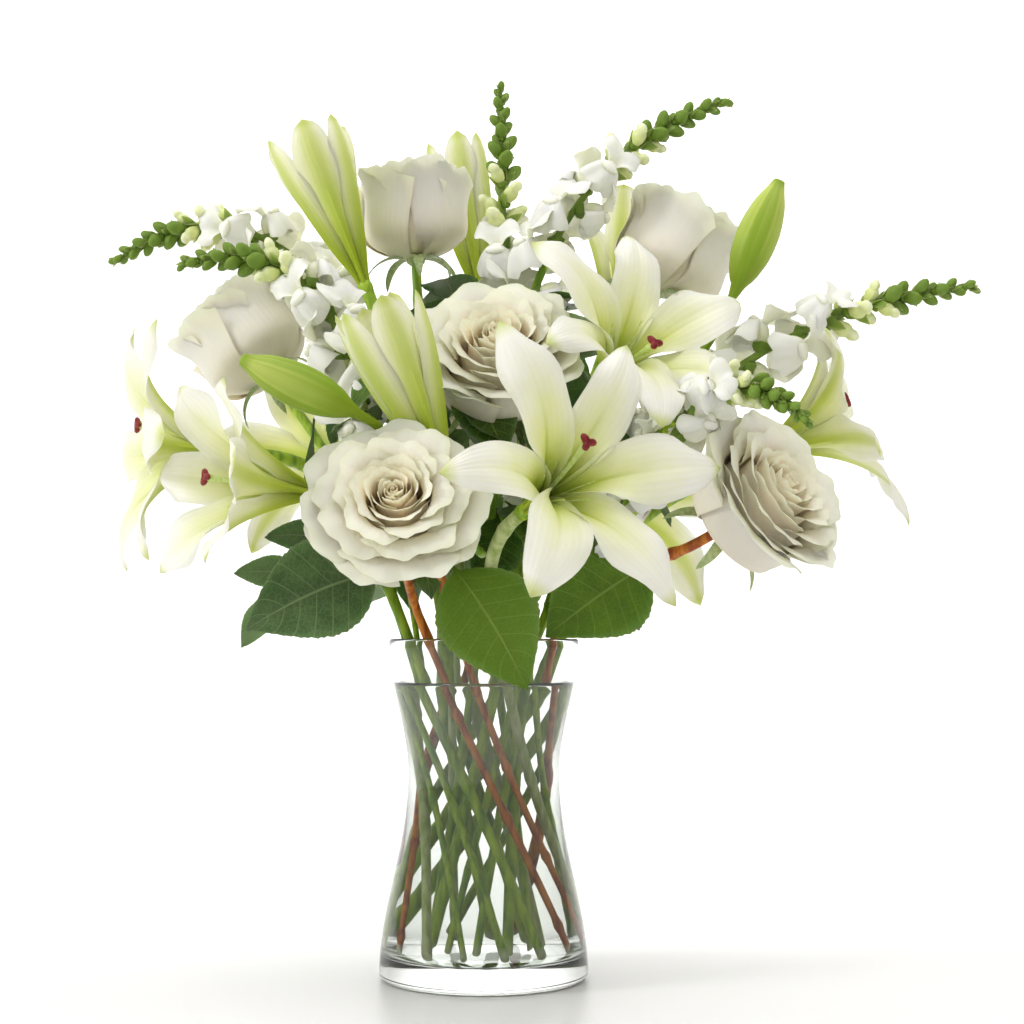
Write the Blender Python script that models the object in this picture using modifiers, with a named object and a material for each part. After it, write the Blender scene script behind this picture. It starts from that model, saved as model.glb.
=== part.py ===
"""White lilies, cream roses and white snapdragons in a clear glass vase, modelled as separate solids.

The vase stands on z = 0 with its axis on Z. Stems stand in two rings inside it: each ring is a set of
straight lines that turn round the axis as they rise, as in a spiral hand-tied bunch, so no two meet.
Above the rim each stem bends to the seat of its own flower. Bearings are measured round the axis in degrees,
0 to the front (-Y) and 90 to the right (+X). Every length is in metres.
"""

import math
from dataclasses import dataclass

import bmesh
import bpy
from mathutils import Matrix, Vector

# ---- Vase ------------------------------------------------------------------------------------------
VASE_HEIGHT = 0.200
FOOT_RADIUS = 0.063
WAIST_RADIUS = 0.048
RIM_RADIUS = 0.057
WAIST_HEIGHT = 0.112
GLASS_WALL = 0.0030
GLASS_BASE = 0.014
FOOT_ROUNDING = 0.005
FOOT_ARC_STEPS = 2
WALL_STEPS = 7
VASE_TURN_STEPS = 36

# ---- Stems -----------------------------------------------------------------------------------------
LILY_STEM_RADIUS = 0.0042
LILY_PEDICEL_RADIUS = 0.0026
ROSE_STEM_RADIUS = 0.0032
SNAPDRAGON_STEM_RADIUS = 0.0027
BRANCH_RADIUS = 0.0030
STEM_CLEARANCE = 0.0025
SPIRAL_TURN = 108.0
INNER_RING_SHARE = 0.50
STEM_PULL = 0.40
STEM_BEND_STEPS = 6
STEM_BEVEL_RESOLUTION = 1
PEDICEL_LEAN = 2.0

# ---- Lilies ----------------------------------------------------------------------------------------
TEPAL_LENGTH = 0.118
TEPAL_WIDTH = 0.040
TEPAL_TIP_WIDTH = 0.0024
TEPAL_THICKNESS = 0.0016
SEPAL_SHARE = 0.80
TEPALS = 6
TEPAL_ROWS = 6
TEPAL_COLUMNS = 2
BUD_LENGTH = 0.070
BUD_RADIUS = 0.0125
BUD_BEVEL_RESOLUTION = 2

# Midrib of a tepal as the control points of a curve, (radius, height) in shares of its length.
CLOSED_SPINE = ((0.0, 0.0), (0.11, 0.20), (0.18, 0.66), (0.08, 0.97))
FLARED_SPINE = ((0.0, 0.0), (0.05, 0.45), (0.42, 0.76), (0.73, 0.56))

# Swelling of a bud, as (share of its length, share of its radius) from stalk to tip.
BUD_SWELL = ((0.06, 0.45), (0.22, 0.85), (0.45, 1.0), (0.68, 0.88), (0.88, 0.55), (1.0, 0.18))

# ---- Roses -----------------------------------------------------------------------------------------
ROSE_RADIUS = 0.041
ROSE_HEIGHT = 0.056
ROSE_PETALS_ROUND = 5
ROSE_TURN_STEPS = 20
ROSE_SCALLOP = 0.05

# Nested petal rims and the grooves between them, as (share of radius, share of height), top to base.
ROSE_TOP = 0.95
ROSE_SECTION = (
    (0.18, 0.99), (0.31, 0.92), (0.46, 1.03), (0.62, 0.90), (0.80, 0.97),
    (1.00, 0.86), (0.96, 0.66), (0.84, 0.40), (0.60, 0.16), (0.28, 0.03),
)  # fmt: skip

# ---- Snapdragons -----------------------------------------------------------------------------------
SPIKE_LENGTH = 0.150
SPIKE_STALK_RADIUS = 0.0026
SPIKE_STEPS = 6
FLORETS = 12
FLORET_LENGTH = 0.026
TIP_BUD_LENGTH = 0.010
FLORET_GIRTH = 0.64
FLORET_SEAT = 0.42
FLORET_SPREAD = 1.1
FIRST_FLORET = 0.08
LAST_FLORET = 0.98
SIDE_STEP = 0.02

# ---- Leaves ----------------------------------------------------------------------------------------
LEAF_LENGTH = 0.080
LEAF_WIDTH = 0.054
LEAF_THICKNESS = 0.0012
LEAF_ROWS = 8
LEAF_COLUMNS = 2
LEAF_ARCH = 0.18
LEAF_FOLD = 0.16
PETIOLE_SHARE = 0.16
PETIOLE_WIDTH = 0.0030
LEAFLET_LENGTH = 0.042
LEAFLET_WIDTH = 0.022
LEAFLET_ROWS = 6
LEAFLET_ARCH = 0.12
LEAFLET_STALK = 0.12
LEAFLET_SPACING = 0.70
LEAFLET_LEAN = 62.0
LEAFLETS = 5

# ---- Fit -------------------------------------------------------------------------------------------
GAP = 0.0005
MERGE = 0.00002
GOLDEN_ANGLE = math.radians(137.5)

# The flowers stand on a dome, whose radius leaves every kind of bloom the room that its size needs.
DOME_RADIUS = max(1.61 * TEPAL_LENGTH, 4.63 * ROSE_RADIUS, 1.26 * SPIKE_LENGTH)

# Base colour, roughness and metallic value of each finish.
FINISHES = {
    "clear_glass": ((0.90, 0.95, 0.93, 1.0), 0.03, 0.0),
    "lily_white": ((0.90, 0.91, 0.80, 1.0), 0.45, 0.0),
    "bud_green": ((0.42, 0.55, 0.12, 1.0), 0.42, 0.0),
    "rose_cream": ((0.92, 0.86, 0.74, 1.0), 0.50, 0.0),
    "snapdragon_white": ((0.86, 0.90, 0.72, 1.0), 0.50, 0.0),
    "stem_green": ((0.24, 0.38, 0.08, 1.0), 0.45, 0.0),
    "bark_brown": ((0.30, 0.13, 0.05, 1.0), 0.50, 0.0),
    "leaf_green": ((0.08, 0.20, 0.03, 1.0), 0.40, 0.0),
}


@dataclass(frozen=True)
class Head:
    """A flower's place on the dome and the way it faces.

    bearing is in degrees; reach and rise are shares of the dome's radius from the middle of the vase's
    rim. faces is the (bearing, elevation) of the bloom's axis in degrees, turn rolls it about that axis,
    and bends is the direction of a snapdragon's tip. ring says where its stem stands: in the "outer" or
    "inner" ring, or on the stem of the lily that it names, which it leaves at step joint of the bend.
    openness runs from 0, closed, to 1, a wide star.
    """

    name: str
    bearing: float
    reach: float
    rise: float
    faces: tuple
    ring: str
    turn: float = 0.0
    openness: float = 1.0
    size: float = 1.0
    bends: tuple = (0.0, 0.0)
    joint: int = 3

    def seat(self):
        """Point where the bloom sits on its stem."""
        flat = DOME_RADIUS * self.reach
        angle = math.radians(self.bearing)
        return Vector(
            (flat * math.sin(angle), -flat * math.cos(angle), VASE_HEIGHT + DOME_RADIUS * self.rise)
        )

    def axis(self):
        """Unit vector along which the bloom faces."""
        return direction(*self.faces)


@dataclass(frozen=True)
class Leaf:
    """A leaf beside the stem of a named head, at a share of the way up the bend above the rim.

    faces is the (bearing, elevation) of the line from its stalk to its tip, and turn rolls it about that.
    """

    name: str
    stem: str
    share: float
    faces: tuple
    turn: float
    size: float = 1.0


LILIES = (
    Head("lily_front", 11, 0.63, 0.36, (28, 16), "outer", turn=0),
    Head("lily_upper_right", 51, 0.42, 0.70, (30, 36), "inner", turn=12, openness=0.92),
    Head("lily_left", -84, 0.72, 0.58, (-72, 1), "outer"),
    Head("lily_low_left", -46, 0.62, 0.42, (-59, 6), "lily_left", openness=0.65, joint=2),
    Head("lily_right", 94, 0.84, 0.57, (80, 23), "outer", turn=30, openness=0.9),
    Head("lily_back_right", 144, 0.72, 1.04, (126, 70), "inner", openness=0.5),
    Head("lily_rear_left", -140, 0.69, 0.58, (-145, 14), "outer"),
    Head("lily_rear_right", 148, 0.74, 0.45, (152, 12), "outer"),
)
HALF_OPEN_LILIES = (
    Head("half_open_lily_left", -95, 0.38, 1.12, (-90, 68), "inner", openness=0.16),
    Head("half_open_lily_top", -178, 0.57, 1.18, (-90, 81), "inner", openness=0.05),
    Head("half_open_lily_centre", -11, 0.54, 0.45, (-68, 66), "lily_front", openness=0.14),
)
LILY_BUDS = (
    Head("lily_bud_left", -28, 0.76, 0.64, (-68, 22), "lily_left", size=0.95, joint=4),
    Head("lily_bud_right", 78, 0.80, 1.08, (90, 68), "lily_right"),
)
ROSES = (
    Head("rose_front", -21, 0.63, 0.29, (-3, 28), "outer", size=1.06),
    Head("rose_centre", 10, 0.27, 0.71, (0, 42), "inner"),
    Head("rose_right", 60, 0.81, 0.32, (46, 28), "outer"),
    Head("rose_upper_left", -140, 0.36, 1.24, (-90, 87), "inner"),
    Head("rose_left", -112, 0.75, 0.85, (-108, 51), "outer"),
    Head("rose_upper_right", 108, 0.58, 1.12, (103, 63), "inner"),
    Head("rose_rear", 180, 0.66, 0.61, (180, 30), "outer"),
)
SNAPDRAGONS = (
    Head("snapdragon_upper_left", -116, 0.67, 1.24, (-90, 41), "outer", bends=(-90, -41)),
    Head("snapdragon_left", -53, 0.51, 0.84, (-90, 76), "inner", bends=(-90, -18)),
    Head("snapdragon_top", 156, 0.14, 0.99, (90, 89), "inner", bends=(90, 87)),
    Head("snapdragon_upper_right", 104, 0.22, 1.25, (90, 63), "inner", bends=(90, 14)),
    Head("snapdragon_right", 81, 0.80, 0.84, (90, 34), "outer", bends=(90, 0)),
    Head("snapdragon_front_right", 46, 0.76, 0.57, (39, 52), "outer", bends=(57, -48), size=0.85),
)
LEAVES = (
    Leaf("leaf_front_left", "rose_front", 0.68, (-67, -18), turn=-65, size=1.1),
    Leaf("leaf_front_centre", "greens_branch_front", 1.0, (59, -52), turn=55, size=1.1),
    Leaf("leaf_front_right", "rose_right", 0.72, (-63, -28), turn=-60),
    Leaf("leaf_dark_centre", "rose_centre", 0.72, (-3, 21), turn=-30, size=0.9),
    Leaf("leaf_rear_left", "lily_rear_left", 0.4, (-139, -18), turn=5),
    Leaf("leaf_rear_right", "lily_rear_right", 0.4, (139, -18), turn=-5),
)
LEAF_SPRAY = Leaf("rose_leaf_spray", "lily_left", 0.5, (-58, -49), turn=-40)
BRANCHES = (
    Head("greens_branch_front", -19, 0.41, 0.26, (-11, 59), "outer"),
    Head("greens_branch_rear", 180, 0.39, 0.21, (169, 59), "outer"),
)


def direction(bearing, elevation):
    """Unit vector at a bearing round the vase and an elevation above the horizon, both in degrees."""
    turn, lift = math.radians(bearing), math.radians(elevation)
    return Vector((math.sin(turn) * math.cos(lift), -math.cos(turn) * math.cos(lift), math.sin(lift)))


def evenly(first, last, steps):
    """Values from first to last in equal steps, both ends included."""
    return [first + (last - first) * i / steps for i in range(steps + 1)]


def bezier(controls, share):
    """Point at a share of the way along the Bezier curve with these control points."""
    points = list(controls)
    while len(points) > 1:
        points = [a.lerp(b, share) for a, b in zip(points, points[1:])]
    return points[0]


def facing_matrix(origin, axis, turn=0.0):
    """Matrix that puts local Z along axis at origin, local X as level as it can be, then rolls by turn."""
    level = Vector((0, 0, 1)).cross(axis)
    side = level.normalized() if level.length > MERGE else Vector((1, 0, 0))
    frame = Matrix((side, axis.cross(side), axis)).transposed().to_4x4()
    return Matrix.Translation(origin) @ frame @ Matrix.Rotation(math.radians(turn), 4, "Z")


# ---- Scene helpers -----------------------------------------------------------------------------------
def clear_scene():
    """Removes every object of the file that the script starts in."""
    for obj in list(bpy.data.objects):
        bpy.data.objects.remove(obj)


def new_collection(name):
    """Empty collection in the scene."""
    made = bpy.data.collections.new(name)
    bpy.context.scene.collection.children.link(made)
    return made


def finish(name):
    """Material of a finish, made once."""
    found = bpy.data.materials.get(name)
    if found:
        return found
    colour, roughness, metallic = FINISHES[name]
    made = bpy.data.materials.new(name)
    made.use_nodes = True
    shader = made.node_tree.nodes["Principled BSDF"]
    shader.inputs["Base Color"].default_value = colour
    shader.inputs["Roughness"].default_value = roughness
    shader.inputs["Metallic"].default_value = metallic
    made.diffuse_color = colour
    return made


def place(name, data, finish_name, collection):
    """New object with this data and finish, in the collection."""
    data.materials.append(finish(finish_name))
    obj = bpy.data.objects.new(name, data)
    collection.objects.link(obj)
    return obj


def mesh_of(shape, name):
    """Mesh made from a bmesh, with its normals turned outwards and its round faces smooth."""
    bmesh.ops.remove_doubles(shape, verts=shape.verts, dist=MERGE)
    bmesh.ops.recalc_face_normals(shape, faces=shape.faces)
    mesh = bpy.data.meshes.new(name)
    shape.to_mesh(mesh)
    shape.free()
    mesh.shade_smooth()
    mesh.set_sharp_from_angle(angle=math.radians(40))
    return mesh


def solidify(obj, thickness):
    """Gives an open surface a wall, half to each side."""
    wall = obj.modifiers.new("wall", "SOLIDIFY")
    wall.thickness = thickness
    wall.offset = 0.0


def tube(name, points, radii, finish_name, collection, resolution=STEM_BEVEL_RESOLUTION):
    """Round tube along the points, as a curve whose radius may change from point to point."""
    curve = bpy.data.curves.new(name, "CURVE")
    curve.dimensions = "3D"
    curve.bevel_depth = 1.0
    curve.bevel_resolution = resolution
    curve.use_fill_caps = True
    spline = curve.splines.new("POLY")
    spline.points.add(len(points) - 1)
    for control, point, radius in zip(spline.points, points, radii):
        control.co = (*point, 1.0)
        control.radius = radius
    return place(name, curve, finish_name, collection)


def as_mesh(obj, collection):
    """The curve object made a closed mesh object in its own place."""
    graph = bpy.context.evaluated_depsgraph_get()
    mesh = bpy.data.meshes.new_from_object(obj.evaluated_get(graph))
    shape = bmesh.new()
    shape.from_mesh(mesh)
    name, matrix, material = obj.name, obj.matrix_world.copy(), obj.data.materials[0].name
    bpy.data.objects.remove(obj)
    made = place(name, mesh_of(shape, name), material, collection)
    made.matrix_world = matrix
    return made


def grid_surface(shape, rows, columns, point_at):
    """Adds a grid to the bmesh and puts each vertex where point_at(along 0..1, across -1..1) says."""
    made = bmesh.ops.create_grid(shape, x_segments=rows, y_segments=columns, size=0.5)
    for vertex in made["verts"]:
        vertex.co = point_at(vertex.co.x + 0.5, 2 * vertex.co.y)


# ---- Vase --------------------------------------------------------------------------------------------
def wall_radius(height):
    """Outer radius of the vase: two cosine flares that meet at the waist."""
    if height > WAIST_HEIGHT:
        share = (height - WAIST_HEIGHT) / (VASE_HEIGHT - WAIST_HEIGHT)
        return WAIST_RADIUS + (RIM_RADIUS - WAIST_RADIUS) * (1 - math.cos(share * math.pi / 2))
    share = 1 - height / WAIST_HEIGHT
    return WAIST_RADIUS + (FOOT_RADIUS - WAIST_RADIUS) * (1 - math.cos(share * math.pi / 2))


def clear_radius(height, stem_radius):
    """Largest radius at which a stem's centreline clears the inside of the glass."""
    return wall_radius(height) - GLASS_WALL - stem_radius - STEM_CLEARANCE


def make_vase(collection):
    """Turned glass: up the inner wall from the middle of the floor, over the rim and down the outside."""
    lip = GLASS_WALL / 2
    top = VASE_HEIGHT - lip
    inner = [
        (wall_radius(z) - GLASS_WALL, z) for z in evenly(GLASS_BASE, top, WALL_STEPS)
    ]
    rim = [(wall_radius(VASE_HEIGHT) - lip, VASE_HEIGHT)]
    outer = [(wall_radius(z), z) for z in evenly(top, FOOT_ROUNDING, WALL_STEPS)]
    middle = wall_radius(FOOT_ROUNDING) - FOOT_ROUNDING
    foot = [
        (middle + FOOT_ROUNDING * math.cos(angle), FOOT_ROUNDING * (1 - math.sin(angle)))
        for angle in evenly(0.0, math.pi / 2, FOOT_ARC_STEPS)
    ]
    profile = [(0.0, GLASS_BASE), *inner, *rim, *outer, *foot[1:], (0.0, 0.0)]
    shape = bmesh.new()
    verts = [shape.verts.new((radius, 0.0, z)) for radius, z in profile]
    for a, b in zip(verts, verts[1:]):
        shape.edges.new((a, b))
    mesh = bpy.data.meshes.new("vase")
    shape.to_mesh(mesh)
    shape.free()
    vase = place("vase", mesh, "clear_glass", collection)
    turned = vase.modifiers.new("turned", "SCREW")
    turned.steps = turned.render_steps = VASE_TURN_STEPS
    turned.use_merge_vertices = True
    turned.merge_threshold = MERGE
    turned.use_smooth_shade = True


# ---- Stems -------------------------------------------------------------------------------------------
class StemRing:
    """Stems that stand in the vase as straight lines turned round its axis, in the order of their heads."""

    def __init__(self, heads, share, turn, stem_radius):
        """heads fill the slots by bearing; share is the ring's radius as a share of the clear radius."""
        self.order = sorted(heads, key=lambda head: head.bearing % 360)
        self.share, self.turn, self.stem_radius = share, turn, stem_radius
        step = 360 / len(self.order)
        lag = [(head.bearing - step * k + 180) % 360 - 180 for k, head in enumerate(self.order)]
        self.start, self.step = sum(lag) / len(lag), step

    def line(self, head):
        """(foot point, rim point) of the straight part of a head's stem."""
        bearing = math.radians(self.start + self.step * self.order.index(head))
        floor, rim = GLASS_BASE + self.stem_radius + GAP, VASE_HEIGHT
        ends = []
        for height, angle in ((floor, bearing + math.radians(self.turn)), (rim, bearing)):
            radius = self.share * clear_radius(height, self.stem_radius)
            ends.append(Vector((radius * math.sin(angle), -radius * math.cos(angle), height)))
        return ends


def bend_to(start, heading, seat, axis):
    """Points of a smooth bend that leaves start along heading and reaches seat along axis."""
    pull = STEM_PULL * (seat - start).length
    controls = (start, start + heading * pull, seat - axis * pull, seat)
    return [bezier(controls, share) for share in evenly(0.0, 1.0, STEM_BEND_STEPS)[1:]]


def ring_stem_points(ring, head):
    """Route of a stem from the floor of the vase to its head."""
    foot, rim = ring.line(head)
    return [foot, rim, *bend_to(rim, (rim - foot).normalized(), head.seat(), head.axis())]


def pedicel_points(parent_points, parent_radius, radius, head):
    """Route of a side stalk that leaves the parent's stem part way up its bend, on the side of its head."""
    bend = parent_points[-STEM_BEND_STEPS - 1 :]
    joint, after = bend[head.joint], bend[head.joint + 1]
    along = (after - joint).normalized()
    outward = head.seat() - joint
    outward = (outward - along * outward.dot(along)).normalized()
    heading = (outward * PEDICEL_LEAN + along).normalized()
    start = joint + outward * (parent_radius + GAP) + heading * radius
    return [start, *bend_to(start, heading, head.seat(), head.axis())]


# ---- Blooms ------------------------------------------------------------------------------------------
def tepal_spine(openness):
    """Control points (radius, height) of a tepal's midrib, from a closed tube to a wide open star."""
    pairs = zip(CLOSED_SPINE, FLARED_SPINE)
    return [Vector(closed).lerp(Vector(flared), openness) * TEPAL_LENGTH for closed, flared in pairs]


def tepal_half_width(share, width):
    """Half the width of a tepal at a share of its length: narrow claw, broad middle, pointed tip."""
    return max(width * math.sin(math.pi * share**0.85) ** 0.8, TEPAL_TIP_WIDTH) / 2


def make_lily(head, collection):
    """Six tepals fused at the throat: each is a sector of a flared cup, split where it gets narrower."""
    spine = tepal_spine(head.openness)
    shape = bmesh.new()
    for k in range(TEPALS):
        middle = 2 * math.pi * k / TEPALS
        width = TEPAL_WIDTH * (1.0 if k % 2 == 0 else SEPAL_SHARE)

        def point_at(along, across, middle=middle, width=width):
            radius, height = bezier(spine, along)
            sector = math.pi / TEPALS
            half = min(sector, tepal_half_width(along, width) / radius) if radius > MERGE else sector
            angle = middle + across * half
            return Vector((radius * math.cos(angle), radius * math.sin(angle), height)) * head.size

        grid_surface(shape, TEPAL_ROWS, TEPAL_COLUMNS, point_at)
    bloom = place(head.name, mesh_of(shape, head.name), "lily_white", collection)
    seat = head.seat() + head.axis() * (TEPAL_THICKNESS + GAP)
    bloom.matrix_world = facing_matrix(seat, head.axis(), head.turn)
    solidify(bloom, TEPAL_THICKNESS)


def make_bud(head, route, collection):
    """Closed bud and its stalk as one tube whose radius swells and closes again."""
    length = BUD_LENGTH * head.size
    seat, axis = head.seat(), head.axis()
    points = route + [seat + axis * length * share for share, _ in BUD_SWELL]
    radii = [LILY_PEDICEL_RADIUS] * len(route) + [BUD_RADIUS * head.size * fat for _, fat in BUD_SWELL]
    tube(head.name, points, radii, "bud_green", collection, BUD_BEVEL_RESOLUTION)


def make_rose(head, collection):
    """Rose head: a sphere's rings moved to nested petal rims and the grooves between them, top to base."""
    rings = len(ROSE_SECTION) + 1
    shape = bmesh.new()
    made = bmesh.ops.create_uvsphere(shape, u_segments=ROSE_TURN_STEPS, v_segments=rings, radius=1.0)
    for vertex in made["verts"]:
        ring = round(math.acos(max(-1.0, min(1.0, vertex.co.z))) * rings / math.pi)
        if ring in (0, rings):
            vertex.co = (0.0, 0.0, ROSE_HEIGHT * head.size * (ROSE_TOP if ring == 0 else 0.0))
            continue
        angle = math.atan2(vertex.co.y, vertex.co.x)
        radius, height = ROSE_SECTION[ring - 1]
        lobes = 1 + ROSE_SCALLOP * math.cos(ROSE_PETALS_ROUND * angle + GOLDEN_ANGLE * ring)
        radius *= ROSE_RADIUS * head.size * lobes
        vertex.co = (
            radius * math.cos(angle),
            radius * math.sin(angle),
            ROSE_HEIGHT * head.size * height,
        )
    rose = place(head.name, mesh_of(shape, head.name), "rose_cream", collection)
    rose.matrix_world = facing_matrix(head.seat() + head.axis() * GAP, head.axis(), head.turn)


def spike_controls(head):
    """Control points of a snapdragon spike, which leaves its seat along its axis and bends to its tip."""
    half = SPIKE_LENGTH * head.size / 2
    seat, tip = head.seat() + head.axis() * GAP, direction(*head.bends)
    return seat, seat + head.axis() * half, seat + (head.axis() + tip) * half


def make_spike(head, collection, cutters):
    """Spike of florets: egg shapes set round a thin stalk by the golden angle, smaller to the tip."""
    controls = spike_controls(head)
    points = [bezier(controls, share) for share in evenly(0.0, 1.0, SPIKE_STEPS)]
    radii = evenly(SPIKE_STALK_RADIUS, SPIKE_STALK_RADIUS / 2, SPIKE_STEPS)
    stalk = as_mesh(tube(head.name, points, radii, "snapdragon_white", collection), collection)
    shape = bmesh.new()
    for k, share in enumerate(evenly(FIRST_FLORET, LAST_FLORET, FLORETS - 1)):
        here = bezier(controls, share)
        along = (bezier(controls, share + SIDE_STEP) - bezier(controls, share - SIDE_STEP)).normalized()
        length = head.size * (FLORET_LENGTH + (TIP_BUD_LENGTH - FLORET_LENGTH) * share)
        side = facing_matrix(here, along, math.degrees(GOLDEN_ANGLE) * k).to_3x3() @ Vector((1, 0, 0))
        out = (side * FLORET_SPREAD + along).normalized()
        made = bmesh.ops.create_icosphere(shape, subdivisions=1, radius=0.5)
        girth = FLORET_GIRTH * length
        stretch = Matrix.Diagonal((girth, girth, length, 1.0))
        move = facing_matrix(here, out) @ Matrix.Translation((0.0, 0.0, FLORET_SEAT * length)) @ stretch
        bmesh.ops.transform(shape, matrix=move, verts=made["verts"])
    florets = place(head.name + "_florets", mesh_of(shape, head.name), "snapdragon_white", cutters)
    join_with(stalk, florets)


def join_with(obj, other):
    """Boolean union of obj with other, which stays as a helper."""
    other.hide_render = True
    other.display_type = "WIRE"
    union = obj.modifiers.new("join", "BOOLEAN")
    union.operation = "UNION"
    union.object = other
    union.use_self = True


# ---- Leaves ------------------------------------------------------------------------------------------
def leaf_point(length, width, arch, stalk):
    """Function that maps (along, across) to a leaf: stalk, then an ovate blade, folded and arched."""

    def point_at(along, across):
        blade = max(0.0, (along - stalk) / (1 - stalk))
        half = max(width * math.sin(math.pi * blade**0.75) ** 0.9, PETIOLE_WIDTH * (1 - 0.6 * blade)) / 2
        fold = LEAF_FOLD * abs(across) * half
        return Vector((across * half, fold - arch * length * along**2, length * along))

    return point_at


def leaf_matrix(leaf, routes):
    """Frame of a leaf that starts just outside its stem: local Z to the tip, local Y its upper side."""
    bend = routes[leaf.stem][1:]
    place_along = leaf.share * (len(bend) - 1)
    index = min(int(place_along), len(bend) - 2)
    point = bend[index].lerp(bend[index + 1], place_along - index)
    along = (bend[index + 1] - bend[index]).normalized()
    axis = direction(*leaf.faces)
    outward = (axis - along * axis.dot(along)).normalized()
    clear = LILY_STEM_RADIUS + PETIOLE_WIDTH / 2 + GAP
    return facing_matrix(point + outward * clear, axis, leaf.turn)


def make_leaf(leaf, routes, collection):
    """Simple leaf with its stalk."""
    shape = bmesh.new()
    surface = leaf_point(LEAF_LENGTH * leaf.size, LEAF_WIDTH * leaf.size, LEAF_ARCH, PETIOLE_SHARE)
    grid_surface(shape, LEAF_ROWS, LEAF_COLUMNS, surface)
    made = place(leaf.name, mesh_of(shape, leaf.name), "leaf_green", collection)
    made.matrix_world = leaf_matrix(leaf, routes)
    solidify(made, LEAF_THICKNESS)


def make_leaf_spray(leaf, routes, collection, cutters):
    """Compound leaf: a thin stalk with leaflets in pairs and one at its end."""
    length = LEAFLET_LENGTH * leaf.size
    pairs = LEAFLETS // 2
    spacing = LEAFLET_SPACING * length
    points = [Vector((0, 0, z)) for z in evenly(0.0, spacing * (pairs + LEAFLET_STALK), pairs)]
    stalk = as_mesh(
        tube(leaf.name, points, [PETIOLE_WIDTH / 2] * len(points), "leaf_green", collection), collection
    )
    stalk.matrix_world = leaf_matrix(leaf, routes)
    shape = bmesh.new()
    for k in range(LEAFLETS):
        side = 0 if k == LEAFLETS - 1 else (1 if k % 2 else -1)
        root = Matrix.Translation((0, 0, spacing * (pairs if side == 0 else k // 2 + 0.5)))
        lean = Matrix.Rotation(math.radians(LEAFLET_LEAN * side), 4, "Y")
        surface = leaf_point(length, LEAFLET_WIDTH * leaf.size, LEAFLET_ARCH, LEAFLET_STALK)
        placed = root @ lean

        def point_at(along, across, placed=placed, surface=surface):
            return placed @ surface(along, across)

        grid_surface(shape, LEAFLET_ROWS, LEAF_COLUMNS, point_at)
    leaflets = place(leaf.name + "_leaflets", mesh_of(shape, leaf.name), "leaf_green", cutters)
    leaflets.matrix_world = stalk.matrix_world
    solidify(leaflets, LEAF_THICKNESS)
    join_with(stalk, leaflets)


# ---- Whole -------------------------------------------------------------------------------------------
def stem_radius_of(head):
    """Radius of the stem that a head stands on."""
    if head in ROSES:
        return ROSE_STEM_RADIUS
    if head in SNAPDRAGONS:
        return SNAPDRAGON_STEM_RADIUS
    if head in BRANCHES:
        return BRANCH_RADIUS
    return LILY_STEM_RADIUS if head.ring in ("outer", "inner") else LILY_PEDICEL_RADIUS


def stem_routes():
    """Route of every stem, by the name of its head."""
    heads = (*LILIES, *HALF_OPEN_LILIES, *LILY_BUDS, *ROSES, *SNAPDRAGONS, *BRANCHES)
    outer = [head for head in heads if head.ring == "outer"]
    inner = [head for head in heads if head.ring == "inner"]
    rings = {
        "outer": StemRing(outer, 1.0, SPIRAL_TURN, LILY_STEM_RADIUS),
        "inner": StemRing(inner, INNER_RING_SHARE, -SPIRAL_TURN, LILY_STEM_RADIUS),
    }
    routes = {head.name: ring_stem_points(rings[head.ring], head) for head in (*outer, *inner)}
    for head in heads:
        if head.ring not in rings:
            parent = routes[head.ring]
            routes[head.name] = pedicel_points(parent, LILY_STEM_RADIUS, LILY_PEDICEL_RADIUS, head)
    return routes


def make_stems(routes, collection):
    """One tube for each stem; a bud's stalk is part of the bud."""
    for head in (*LILIES, *HALF_OPEN_LILIES, *ROSES, *SNAPDRAGONS, *BRANCHES):
        points = routes[head.name]
        radius = stem_radius_of(head)
        brown = head in BRANCHES or head.name == "rose_front"
        name = head.name if head in BRANCHES else head.name + "_stem"
        tube(name, points, [radius] * len(points), "bark_brown" if brown else "stem_green", collection)


def main():
    """Builds the vase, the stems, every flower and the leaves."""
    clear_scene()
    parts = new_collection("lily_bouquet_in_vase")
    cutters = new_collection("helpers")
    routes = stem_routes()
    make_vase(parts)
    make_stems(routes, parts)
    for head in (*LILIES, *HALF_OPEN_LILIES):
        make_lily(head, parts)
    for head in LILY_BUDS:
        make_bud(head, routes[head.name], parts)
    for head in ROSES:
        make_rose(head, parts)
    for head in SNAPDRAGONS:
        make_spike(head, parts, cutters)
    for leaf in LEAVES:
        make_leaf(leaf, routes, parts)
    make_leaf_spray(LEAF_SPRAY, routes, parts, cutters)


if __name__ == "__main__":
    main()
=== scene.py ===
"""Looks of a waisted glass vase of white lilies, cream roses and white snapdragons.

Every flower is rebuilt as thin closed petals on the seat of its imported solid. Its place and its axis are read
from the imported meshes, and its surface is worked out on a grid of two parameters, along and across.
"""

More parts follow.
